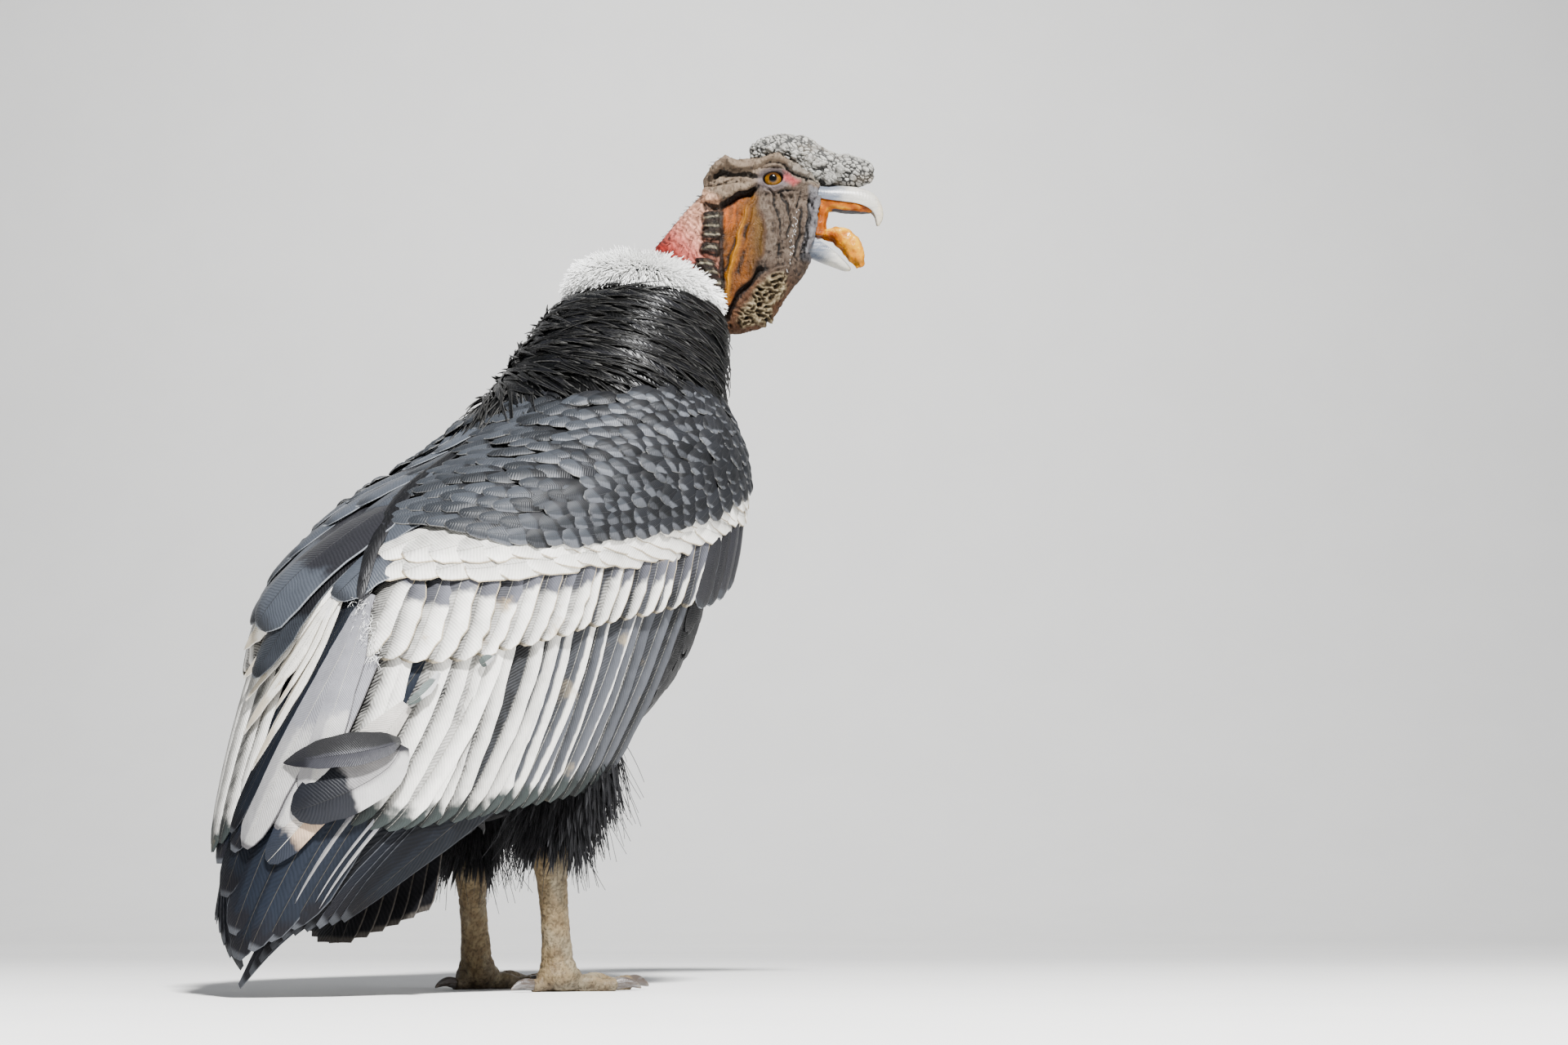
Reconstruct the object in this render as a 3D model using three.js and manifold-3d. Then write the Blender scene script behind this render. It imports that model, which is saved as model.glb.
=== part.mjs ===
// An adult male Andean condor standing at rest, life size, with its head turned to its right and
// its bill open. Millimetres, +Z up, the bird faces +X and its left side is +Y.
import * as THREE from "three";
import { mergeVertices } from "three/addons/utils/BufferGeometryUtils.js";
import Module from "manifold-3d";

const wasm = await Module();
wasm.setup();

// Gap between pieces that touch
const GAP = 0.3;
const RIGHT = -1;
const LEFT = 1;
const DEG = Math.PI / 180;

// The folded wings and the back make one cloak. Each row is a level section:
// height, centre x, half length, half width.
const CLOAK = [
  [0, -206, 152, 90],
  [70, -186, 164, 112],
  [140, -154, 181, 134],
  [217, -113, 204, 150],
  [300, -66, 226, 163],
  [375, -28, 238, 171],
  [465, 26, 204, 173],
  [530, 76, 150, 154],
  [570, 96, 122, 132],
  [605, 106, 100, 108],
];
// Exponent of the cloak's section: 2 is an ellipse, more is boxier
const CLOAK_POWER = 2.6;

// The trunk under the wings: height, centre x, half length, half width
const TRUNK = [
  [168, -70, 14, 16],
  [180, -66, 46, 44],
  [205, -52, 80, 74],
  [250, -28, 118, 104],
  [310, -2, 152, 130],
  [375, 18, 166, 146],
  [465, 42, 156, 152],
  [530, 74, 134, 138],
  [585, 98, 117, 118],
  [625, 118, 105, 104],
  [668, 138, 92, 92],
  [704, 156, 80, 80],
  [722, 166, 66, 66],
];
const TRUNK_TOP = 596;

// Where the wing's rows lie: height at the spine side, then at the wrist side
const WING_ANGLE_TOP = { [-1]: 5, 1: 4 };
const WING_ANGLE_LOW = { [-1]: 19, 1: 8 };
const WING_ANGLE_FRONT = 134;
const WING_TOP = [566, 592];
const ARM_LOW = [374, 436];
const ARM_DEPTH = 20;

// Small seeded generator, so that each copy varies the same way on every run
function dice(seed) {
  let state = seed;
  return () => {
    state = (state * 1664525 + 1013904223) % 4294967296;
    return state / 4294967296;
  };
}
const mix = (a, b, t) => a + (b - a) * t;
const clamp = (v, low, high) => Math.min(high, Math.max(low, v));

// Smooth value of one column of a table whose first column is its place
function along(table, column, at) {
  const last = table.length - 1;
  const s = clamp(at, table[0][0], table[last][0]);
  let i = 0;
  while (i < last - 1 && s > table[i + 1][0]) i += 1;
  const [a, b] = [table[i], table[i + 1]];
  const step = b[0] - a[0];
  const slope = (j) => {
    const p = table[Math.max(j - 1, 0)];
    const n = table[Math.min(j + 1, last)];
    return (n[column] - p[column]) / (n[0] - p[0]);
  };
  const t = (s - a[0]) / step;
  const [t2, t3] = [t * t, t * t * t];
  return (
    (2 * t3 - 3 * t2 + 1) * a[column] +
    (t3 - 2 * t2 + t) * step * slope(i) +
    (3 * t2 - 2 * t3) * b[column] +
    (t3 - t2) * step * slope(i + 1)
  );
}

// A closed solid from points and triangles, turned to face outwards
function closed(points, faces) {
  const places = new Float32Array(points.flatMap((p) => [p.x, p.y, p.z]));
  const geometry = new THREE.BufferGeometry()
    .setAttribute("position", new THREE.BufferAttribute(places, 3))
    .setIndex(faces.flat());
  return solid(geometry);
}
function solid(geometry) {
  const g = geometry.clone();
  g.deleteAttribute("normal");
  g.deleteAttribute("uv");
  const merged = mergeVertices(g, 1e-4);
  const vertProperties = merged.attributes.position.array;
  const triVerts = new Uint32Array(merged.index.array);
  const make = () => new wasm.Manifold(new wasm.Mesh({ numProp: 3, vertProperties, triVerts }));
  const made = make();
  if (made.volume() >= 0) return made;
  for (let i = 0; i < triVerts.length; i += 3) {
    [triVerts[i + 1], triVerts[i + 2]] = [triVerts[i + 2], triVerts[i + 1]];
  }
  return make();
}

// Rings of points joined in order, closed with a fan at each end
function loft(rings) {
  const count = rings[0].length;
  const points = rings.flat();
  const faces = [];
  for (let r = 0; r + 1 < rings.length; r += 1) {
    for (let k = 0; k < count; k += 1) {
      const [a, b] = [r * count + k, r * count + ((k + 1) % count)];
      faces.push([a, b, b + count], [a, b + count, a + count]);
    }
  }
  for (const [ring, first] of [[rings[0], 0], [rings.at(-1), (rings.length - 1) * count]]) {
    if (count === 4) {
      const [a, b, c, d] = [first, first + 1, first + 2, first + 3];
      faces.push(...(first ? [[a, b, c], [a, c, d]] : [[a, c, b], [a, d, c]]));
      continue;
    }
    const centre = ring.reduce((sum, p) => sum.add(p), new THREE.Vector3()).divideScalar(count);
    points.push(centre);
    for (let k = 0; k < count; k += 1) {
      const [a, b] = [first + k, first + ((k + 1) % count)];
      faces.push(first ? [a, b, points.length - 1] : [b, a, points.length - 1]);
    }
  }
  return closed(points, faces);
}

// A tube whose rings stand square to its path. Each row is x, y, z, half width, half height.
// The width runs along the side vector, as near as the path allows.
function limb(rows, side, sides, grow = 0) {
  const places = rows.map((r) => new THREE.Vector3(r[0], r[1], r[2]));
  const path = new THREE.CatmullRomCurve3(places, false, "centripetal");
  const rings = rows.map((row, i) => {
    const t = i / (rows.length - 1);
    const forward = path.getTangent(clamp(t, 1e-3, 1 - 1e-3));
    const up = new THREE.Vector3().crossVectors(forward, side).normalize();
    const across = new THREE.Vector3().crossVectors(up, forward).normalize();
    const ends = i === 0 ? -grow : i === rows.length - 1 ? grow : 0;
    return Array.from({ length: sides }, (_, k) => {
      const a = (k / sides) * 2 * Math.PI;
      return places[i].clone()
        .addScaledVector(forward, ends)
        .addScaledVector(across, Math.cos(a) * (row[3] + grow))
        .addScaledVector(up, Math.sin(a) * (row[4] + grow));
    });
  });
  return loft(rings);
}

// An egg shape with its own three half sizes
function egg(x, y, z, a, b, c, sides = 10, rows = 7, turn = null) {
  const geometry = new THREE.SphereGeometry(1, sides, rows).scale(a, b, c);
  if (turn) geometry.applyMatrix4(turn);
  return solid(geometry.translate(x, y, z));
}

// Straight across the bird
const ACROSS = new THREE.Vector3(0, 1, 0);

const join = (solids) => (solids.length > 1 ? wasm.Manifold.union(solids) : solids[0]);
function largest(made) {
  const pieces = made.decompose();
  return pieces.reduce((best, p) => (p.volume() > best.volume() ? p : best), pieces[0]);
}

// Radius of a rounded box with half sizes a and b, in the direction with this cosine and sine
const reachOf = (cos, sin, a, b, power) =>
  (Math.abs(cos / a) ** power + Math.abs(sin / b) ** power) ** (-1 / power);

// Point on the cloak. The angle runs from the spine (0) over the side (90) to the breast (180).
function cloakRaw(side, angle, height) {
  const [x, a, b] = [1, 2, 3].map((c) => along(CLOAK, c, height));
  const [cos, sin] = [Math.cos(angle), Math.sin(angle)];
  const reach = reachOf(cos, sin, a, b, CLOAK_POWER);
  return new THREE.Vector3(x - reach * cos, side * reach * sin, height);
}
const STEP = 0.01;
function cloakFrame(side, angle, height) {
  const at = cloakRaw(side, angle, height);
  const slope = (a, b, span) => cloakRaw(side, ...a).sub(cloakRaw(side, ...b)).divideScalar(span);
  const round = slope([angle + STEP, height], [angle - STEP, height], 2 * STEP);
  const rise = slope([angle, height + 1], [angle, height - 1], 2);
  const out = new THREE.Vector3().crossVectors(round, rise).normalize();
  if (side === RIGHT) out.negate();
  if (out.dot(new THREE.Vector3(at.x - along(CLOAK, 1, height), at.y, 0)) < 0) out.negate();
  const down = rise.clone().negate().normalize();
  const back = round.clone().negate().addScaledVector(down, round.dot(down)).normalize();
  return { at, round, rise, out, down, back };
}
// Moves a place on the cloak by a length along a direction in its surface
function cloakMove(side, place, direction, length) {
  const f = cloakFrame(side, place.angle, place.height);
  const d = direction(f).multiplyScalar(length);
  const [rr, rz, zz] = [f.round.dot(f.round), f.round.dot(f.rise), f.rise.dot(f.rise)];
  const [dr, dz] = [d.dot(f.round), d.dot(f.rise)];
  const det = rr * zz - rz * rz;
  return {
    angle: place.angle + (dr * zz - dz * rz) / det,
    height: place.height + (dz * rr - dr * rz) / det,
  };
}
function cloakPoint(side, place, lift) {
  const f = cloakFrame(side, place.angle, place.height);
  return f.at.clone().addScaledVector(f.out, lift);
}

// Half width of a feather along its length, as a share of its full half width
const OUTLINES = {
  flight: [[0, 0.25], [0.3, 0.95], [0.88, 0.88], [1, 0.34]],
  primary: [[0, 0.25], [0.35, 1], [0.75, 0.8], [1, 0.16]],
  covert: [[0, 0.2], [0.3, 0.94], [0.82, 0.94], [1, 0.42]],
  scale: [[0, 0.2], [0.45, 1], [1, 0.42]],
  hackle: [[0, 0.2], [0.3, 1], [0.7, 0.8], [1, 0.12]],
  down: [[0, 0.4], [0.5, 1], [1, 0.4]],
  rectrix: [[0, 0.35], [0.3, 0.8], [0.65, 1], [0.93, 1], [1, 0.72]],
};

// A feather laid on the cloak. lean turns it towards the spine, roll lifts its wrist-side edge.
function cloakVane(side, v) {
  const outline = OUTLINES[v.outline];
  const heading = (t) => (f) => {
    const turn = v.lean + v.curl * t;
    return f.down.clone().multiplyScalar(Math.cos(turn)).addScaledVector(f.back, Math.sin(turn));
  };
  const square = (t) => (f) => {
    const h = heading(t)(f);
    return new THREE.Vector3().crossVectors(h, f.out).multiplyScalar(-side).normalize();
  };
  let place = { angle: v.angle, height: v.height };
  let gone = 0;
  const rings = outline.map(([t, share]) => {
    const step = (t - gone) / 4;
    for (let i = 0; i < 4; i += 1) {
      place = cloakMove(side, place, heading(gone + step * i), step * v.length);
    }
    gone = t;
    const half = (share * v.width) / 2 + v.grow;
    const lift = (t === 0 && v.sink ? -v.sink : v.lift) + v.rise * t;
    const thick = mix(v.thick, v.thick * 0.7, t) + 2 * v.grow;
    const low = lift - v.grow;
    const edge = (w) => cloakMove(side, place, square(t), w);
    const [front, rear] = [edge(half), edge(-half)];
    const tilt = v.roll * half;
    return [
      cloakPoint(side, front, low + tilt),
      cloakPoint(side, front, low + tilt + thick),
      cloakPoint(side, rear, low - tilt + thick),
      cloakPoint(side, rear, low - tilt),
    ];
  });
  return loft(rings);
}

const VANE = {
  outline: "covert",
  lean: 0,
  curl: 0,
  roll: 0.1,
  sink: 0,
  lift: 0,
  rise: 0,
  thick: 1.1,
  grow: 0,
};

// Height of a wing line at a place between the spine side (0) and the wrist side (1)
const wingAngle = (side, p, height) => {
  const low = mix(WING_ANGLE_LOW[side], WING_ANGLE_TOP[side], clamp((height - 380) / 180, 0, 1));
  return mix(low, WING_ANGLE_FRONT, p) * DEG;
};

// The arm with its skin and small coverts: a curved lens between two heights
function arm(side, grow) {
  const [across, down] = [8, 3];
  const points = [];
  const put = (p, q, inner) => {
    const height = mix(mix(WING_TOP[0], WING_TOP[1], p), mix(ARM_LOW[0], ARM_LOW[1], p), q);
    const blunt = q > 0.5 ? 0.6 : 1;
    const [acrossEdge, downEdge] = [Math.abs(2 * p - 1) ** 8, blunt * Math.abs(2 * q - 1) ** 6];
    const fade = Math.sqrt(Math.max(0, 1 - acrossEdge) * Math.max(0, 1 - downEdge));
    const edge = 3 + grow;
    const lift = inner ? -8 - edge - (ARM_DEPTH - 8) * fade : -8 + edge + 3 * fade;
    const angle = wingAngle(side, p, height) + (grow / 170) * (2 * p - 1);
    points.push(cloakPoint(side, { angle, height: height - grow * (2 * q - 1) }, lift));
    return points.length - 1;
  };
  const sheet = (inner) =>
    Array.from({ length: down + 1 }, (_, j) =>
      Array.from({ length: across + 1 }, (_, i) => put(i / across, j / down, inner)),
    );
  const [outer, inner] = [sheet(false), sheet(true)];
  const faces = [];
  const quad = (a, b, c, d) => faces.push([a, b, c], [a, c, d]);
  for (let j = 0; j < down; j += 1) {
    for (let i = 0; i < across; i += 1) {
      quad(outer[j][i], outer[j][i + 1], outer[j + 1][i + 1], outer[j + 1][i]);
      quad(inner[j][i], inner[j + 1][i], inner[j + 1][i + 1], inner[j][i + 1]);
    }
    quad(outer[j][0], outer[j + 1][0], inner[j + 1][0], inner[j][0]);
    quad(outer[j][across], inner[j][across], inner[j + 1][across], outer[j + 1][across]);
  }
  for (let i = 0; i < across; i += 1) {
    quad(outer[0][i], inner[0][i], inner[0][i + 1], outer[0][i + 1]);
    quad(outer[down][i], outer[down][i + 1], inner[down][i + 1], inner[down][i]);
  }
  return closed(points, faces);
}

// Tiers of the folded wing. Heights are of the roots, at the spine side and at the wrist side.
const TIERS = [
  { name: "primary", count: 5, heights: [456, 446], from: 0.94, to: 0.7,
    length: [676, 590], width: 64, outline: "primary", lean: [21, 17], curl: 7,
    lift: -26, stack: 2, roll: 0, jitter: 0.01 },
  { name: "secondary", count: 13, heights: [394, 456], from: 0.03, to: 0.97,
    length: [284, 284], width: 40, outline: "flight", lean: [2, -2], curl: 2,
    lift: -12.5, roll: 0.11, jitter: 0.02 },
  { name: "greater", count: 10, heights: [396, 458], from: 0.03, to: 0.97,
    length: [124, 96], width: 50, outline: "covert", lean: [8, 0], curl: 4,
    lift: -6.5, roll: 0.1, jitter: 0.03 },
  { name: "median", count: 9, heights: [440, 524], from: 0.03, to: 0.97,
    length: [80, 64], width: 54, outline: "covert", lean: [42, 14], curl: 6,
    lift: -0.6, rise: 3, sink: 9, roll: 0.06, jitter: 0.04 },
];
// The lowest row of the lesser coverts; the rows above it are too fine for solids
const LESSER = { count: 7, heights: [492, 548], width: 62, length: 70 };
// Long dark feathers between the wing and the spine: root height, angle, length, lean
const SCAPULARS = [
  [548, 17, 120, 8], [536, 9, 150, 3], [508, 12, 156, 5],
];
// The right wing's longest primaries are longer by this much, and lean back across the middle
const CROSSING = { lean: 6, length: 34 };
// No other feather of one wing passes the middle of the back
const MIDDLE = 0.2;
const CROSSING_BELOW = 150;
function otherSide(side) {
  const low = side === RIGHT ? CROSSING_BELOW : -200;
  return solid(new THREE.BoxGeometry(1400, 400, 1200).translate(0, -side * (200 - MIDDLE), low + 600));
}

function wing(side, seed, grow = 0) {
  const roll = dice(seed);
  const wobble = (size) => 1 + (roll() - 0.5) * 2 * size;
  const parts = [arm(side, grow)];
  for (const tier of TIERS) {
    const more = side === RIGHT && tier.name === "primary" ? 1 : 0;
    for (let i = 0; i < tier.count; i += 1) {
      const share = i / (tier.count - 1);
      const p = mix(tier.from, tier.to, share);
      const place = tier.name === "primary" ? share : p;
      const longest = tier.length[0] + more * CROSSING.length;
      const height = mix(tier.heights[0], tier.heights[1], place);
      parts.push(
        cloakVane(side, {
          ...VANE, ...tier, grow, height,
          angle: wingAngle(side, p, height),
          lift: tier.lift + (tier.stack ?? 0) * i,
          length: mix(longest, tier.length[1], place) * wobble(tier.jitter),
          lean: mix(tier.lean[0] + more * CROSSING.lean, tier.lean[1], place) * DEG,
          curl: tier.curl * DEG,
          width: tier.width * wobble(0.06),
        }),
      );
    }
  }
  for (let i = 0; i < LESSER.count; i += 1) {
    const p = mix(0.08, 0.96, i / (LESSER.count - 1));
    const height = mix(LESSER.heights[0], LESSER.heights[1], p);
    parts.push(
      cloakVane(side, {
        ...VANE, grow, height, outline: "scale",
        angle: wingAngle(side, p, height),
        lean: mix(50, 18, p) * DEG,
        length: LESSER.length * wobble(0.06),
        width: LESSER.width * wobble(0.05),
        lift: -0.6, rise: 5, sink: 9, roll: 0.045,
      }),
    );
  }
  for (const [height, angle, length, lean] of SCAPULARS) {
    parts.push(
      cloakVane(side, {
        ...VANE, grow, height, length, outline: "covert", angle: angle * DEG, lean: lean * DEG,
        width: 50, lift: 5.5, rise: 3, sink: 6, roll: 0.03 * wobble(0.3),
      }),
    );
  }
  return largest(join(parts).subtract(otherSide(side)));
}

// A lock or feather in open space: it leaves its base along a direction and bends towards its face
function lock(base, direction, face, size) {
  const { length, width, thick, sink = 5, rise = 0, bend = 0, grow = 0, outline = "hackle" } = size;
  const dir = direction.clone().normalize();
  const out = face.clone().addScaledVector(dir, -face.dot(dir)).normalize();
  const across = new THREE.Vector3().crossVectors(dir, out);
  const rings = OUTLINES[outline].map(([t, share]) => {
    const centre = base.clone()
      .addScaledVector(dir, length * t)
      .addScaledVector(out, (t === 0 ? -sink : 0) + rise * t + bend * t * t);
    const half = (share * width) / 2 + grow;
    const deep = (thick * mix(1, 0.6, t)) / 2 + grow;
    return [[half, -deep], [half, deep], [-half, deep], [-half, -deep]].map(([w, h]) =>
      centre.clone().addScaledVector(across, w).addScaledVector(out, h),
    );
  });
  return loft(rings);
}

// The trunk's own surface: the angle runs from the back (0) by the left side (90) to the breast (180)
const TRUNK_POWER = 2.2;
function trunkPoint(angle, height, lift = 0) {
  const [x, a, b] = [1, 2, 3].map((c) => along(TRUNK, c, height));
  const [cos, sin] = [Math.cos(angle), Math.sin(angle)];
  const reach = reachOf(cos, sin, a, b, TRUNK_POWER) + lift;
  return new THREE.Vector3(x - reach * cos, reach * sin, height);
}
function trunkOut(angle, height) {
  const round = trunkPoint(angle + STEP, height).sub(trunkPoint(angle - STEP, height));
  const rise = trunkPoint(angle, height + 2).sub(trunkPoint(angle, height - 2));
  return new THREE.Vector3().crossVectors(rise, round).normalize();
}
function trunk(low, high, sides, levels, grow = 0) {
  const rings = Array.from({ length: levels }, (_, j) => {
    const height = mix(low - grow, high + grow, j / (levels - 1));
    return Array.from({ length: sides }, (_, k) => {
      const p = trunkPoint((k / sides) * 2 * Math.PI, clamp(height, TRUNK[0][0], TRUNK.at(-1)[0]), grow);
      return p.setZ(height);
    });
  });
  return loft(rings);
}

// Neck feathers: rows of hackles that run down and round the base of the neck
const HACKLES = { rows: [690, 650], count: 10, length: 84, width: 48, thick: 1.8 };
const mantleCore = (grow = 0) => trunk(TRUNK_TOP + GAP, TRUNK.at(-1)[0], 14, 4, grow);
function mantle(grow = 0) {
  const roll = dice(5);
  const parts = [mantleCore(grow)];
  HACKLES.rows.forEach((height, row) => {
    for (let i = 0; i < HACKLES.count; i += 1) {
      const angle = ((i + (row % 2) * 0.5) / HACKLES.count) * 2 * Math.PI;
      const out = trunkOut(angle, height);
      const rise = trunkPoint(angle, height - 3).sub(trunkPoint(angle, height + 3)).normalize();
      const round = new THREE.Vector3().crossVectors(out, rise);
      const sweep = 0.55 * Math.sin(angle + 0.9);
      const direction = rise.clone().addScaledVector(round, sweep);
      parts.push(
        lock(trunkPoint(angle, height, 0), direction, out, {
          ...HACKLES, grow,
          length: HACKLES.length * (0.92 + 0.16 * roll()), sink: 7, rise: 6, bend: -2 - 14 * sweep ** 2,
        }),
      );
    }
  });
  return largest(join(parts));
}

// The head is laid out about the middle of the eye line: forward, left, up, before its turn
const EYE_LINE = new THREE.Vector3(274, -83, 862);
const HEAD_TURN = -45;
const HEAD_SCALE = 1.1;
const headMatrix = new THREE.Matrix4()
  .makeRotationZ(HEAD_TURN * DEG)
  .setPosition(EYE_LINE)
  .multiply(new THREE.Matrix4().makeScale(HEAD_SCALE, HEAD_SCALE, HEAD_SCALE));
const inHead = (x, y, z) => new THREE.Vector3(x, y, z).applyMatrix4(headMatrix);
const headTurn = new THREE.Matrix4().makeRotationZ(HEAD_TURN * DEG);
const HEAD_ACROSS = ACROSS.clone().applyMatrix4(headTurn);
const headLimb = (rows, sides, grow = 0) =>
  limb(
    rows.map(([x, y, z, w, h]) => [...inHead(x, y, z).toArray(), w * HEAD_SCALE, h * HEAD_SCALE]),
    HEAD_ACROSS, sides, grow,
  );
const headEgg = (x, y, z, a, b, c, grow = 0, sides = 10, rows = 7, tip = 0) => {
  const at = inHead(x, y, z);
  const turn = headTurn.clone().multiply(new THREE.Matrix4().makeRotationY(-tip * DEG));
  const half = [a, b, c].map((v) => v * HEAD_SCALE + grow);
  return egg(at.x, at.y, at.z, ...half, sides, rows, turn);
};

// Level slices of the throat flap: height, rear x, front x, half width
const THROAT = [
  [-34, -58, 40, 31], [-58, -70, 42, 33], [-80, -86, 38, 32], [-97, -92, 30, 29],
  [-112, -92, 18, 25], [-126, -86, 9, 20], [-140, -80, 0, 15], [-150, -68, -12, 10], [-155, -60, -30, 4],
];
function throat(grow = 0) {
  const rings = THROAT.map(([z, rear, front, half], i) => {
    const ends = i === 0 ? grow : i === THROAT.length - 1 ? -grow : 0;
    return Array.from({ length: 12 }, (_, k) => {
      const a = (k / 12) * 2 * Math.PI;
      const narrow = 1 - 0.38 * Math.max(0, Math.cos(a)) ** 2;
      return inHead(
        (rear + front) / 2 + ((front - rear) / 2 + grow) * Math.cos(a),
        (half * narrow + grow) * Math.sin(a),
        z + ends,
      );
    });
  });
  return loft(rings);
}

const NECK = [
  [-128, 4, -150, 42, 44], [-104, 2, -124, 41, 43], [-88, 1, -102, 39, 41], [-72, 0, -80, 38, 39],
  [-56, 0, -56, 36, 37], [-42, 0, -36, 33, 32], [-26, 0, -22, 29, 26],
];
const neckTube = (grow = 0) => headLimb(NECK, 10, grow);

const SKULL = [
  [-66, 0, -12, 14, 10], [-58, 0, -11, 23, 19], [-40, 0, -9, 30, 25], [-20, 0, -9, 33, 27],
  [0, 0, -10, 32, 27], [18, 0, -12, 28, 25], [32, 0, -15, 22, 20], [44, 0, -17, 15, 13],
];
// The fold over the eye, from the nape to the bill
const BROW = [
  [-54, 22, 0, 5, 6], [-46, 24, 8, 6, 6], [-34, 25, 9, 6, 5], [-20, 26, 8, 5, 5],
  [-4, 27, 9, 5, 4.5], [12, 25, 8, 5, 4.5], [26, 20, 2, 4.5, 4], [40, 14, -8, 3, 3],
];
// The broad fold behind the eye
const CHEEK = [
  [-10, 27, -10, 3, 4], [-26, 29, -13, 5, 7], [-44, 28, -18, 5.5, 8], [-60, 25, -25, 5, 7],
  [-71, 22, -31, 3, 5],
];
// The lip down the corner of the mouth
const LIP = [
  [46, 11, -22, 2, 2], [43, 14, -34, 3, 3], [40, 16, -48, 3.5, 3.5], [36, 17, -64, 3.5, 4],
  [30, 18, -80, 3, 3],
];
const LIDS = { radius: 9.2, half: 2.1, y: 29.5, z: -8 };
// The same rows on one side of the bird
const onSide = (rows, side) => rows.map(([x, y, z, w, h]) => [x, y * side, z, w, h]);

function headNode(cuts) {
  const parts = [headLimb(SKULL, 12), headEgg(14, 0, -42, 28, 27, 34, 0, 8, 6)];
  for (const side of [RIGHT, LEFT]) {
    parts.push(...[BROW, CHEEK, LIP].map((rows) => headLimb(onSide(rows, side), 5)));
    const lids = new THREE.TorusGeometry(LIDS.radius, LIDS.half, 4, 10).scale(1.12, 0.86, 1);
    lids.rotateZ(side * 8 * DEG).rotateX(90 * DEG).translate(0, LIDS.y * side, LIDS.z);
    parts.push(solid(lids.applyMatrix4(headMatrix)));
  }
  let made = join(parts);
  for (const cut of cuts) made = made.subtract(cut);
  return largest(made);
}

const EYE = { x: 0, y: 26.5, z: -8, r: 8.6 };
const eyeball = (side, grow = 0) =>
  headEgg(EYE.x, EYE.y * side, EYE.z, EYE.r, EYE.r * 0.7, EYE.r, grow);

// The fleshy comb, with its knobs and the nostrils under it
const COMB = [
  [-16, 0, 14, 7, 6], [-10, 0, 21, 11, 13], [0, 0, 27, 13, 16], [16, 0, 29, 14, 17],
  [30, 0, 24, 14, 18], [42, 0, 16, 14, 16], [54, 0, 10.5, 13.5, 15.5], [68, 0, 9, 13, 15.5],
  [82, 0, 7, 12.5, 14], [92, 0, 4, 11, 11], [99, 0, 2.5, 7, 6.5],
];
const KNOBS = 6;
const NOSTRIL = { x: 60, y: 12, z: -1, length: 7, depth: 4, height: 2.2 };
const combCore = (grow = 0) => headLimb(COMB, 8, grow);
function comb(grow = 0) {
  const parts = [combCore(grow)];
  const roll = dice(31);
  for (let i = 0; i < KNOBS; i += 1) {
    const row = COMB[1 + (i % (COMB.length - 2))];
    const a = (0.12 + 0.76 * ((i * 0.381966) % 1)) * Math.PI;
    const [x, y, z] = [
      row[0] + (roll() - 0.5) * 8,
      Math.cos(a) * row[3] * 0.76,
      row[2] + Math.sin(a) * row[4] * 0.8,
    ];
    parts.push(headEgg(x, y, z, 9 + roll() * 2, 7, 5.5 + roll(), grow, 7, 5));
  }
  const { x, y, z, length, depth, height } = NOSTRIL;
  const slits = [RIGHT, LEFT].map((side) => headEgg(x, y * side, z, length, depth, height, 0, 6, 4));
  return largest(join(parts).subtract(join(slits)));
}

const UPPER_BILL = [
  [40, 0, -16, 12, 9], [54, 0, -18.5, 12, 11], [68, 0, -19.5, 11.5, 12], [82, 0, -21, 10.5, 12],
  [92, 0, -24, 9, 11.5], [99, 0, -29, 7, 8], [103, 0, -35, 4.6, 5], [103.5, 0, -41, 2.8, 3],
  [102, 0, -48, 0.9, 1],
];
function upperBill(grow = 0) {
  const made = headLimb(UPPER_BILL, 8, grow);
  return grow ? made : made.subtract(headEgg(66, 0, -34, 28, 7, 8, 0, 8, 4));
}
const LOWER_BILL = [
  [33, 0, -60, 12, 14], [44, 0, -68, 11.5, 12], [54, 0, -75, 10.5, 9.5], [64, 0, -82, 8.5, 7],
  [72, 0, -88, 5.5, 4.5], [77, 0, -91, 2, 1.6],
];
function lowerBill(grow = 0) {
  const made = headLimb(LOWER_BILL, 8, grow);
  return grow ? made : made.subtract(headEgg(58, 0, -67, 24, 7.5, 7, 0, 8, 4, -38));
}
const TONGUE = [
  [40, 0, -46, 5, 5], [54, 0, -50, 7, 7.5], [68, 0, -55.5, 9, 11], [78, 0, -67, 9.5, 11.5],
  [84, 0, -84, 5, 6],
];
const tongue = (grow = 0) => headLimb(TONGUE, 8, grow);
// The lining at the back of the open mouth
const MOUTH = [[48, 0, -22, 10, 7], [47, 0, -34, 10.5, 6.5], [46, 0, -46, 10.5, 7], [44, 0, -58, 10, 8]];
const mouth = (grow = 0) => headLimb(MOUTH, 8, grow);

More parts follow.
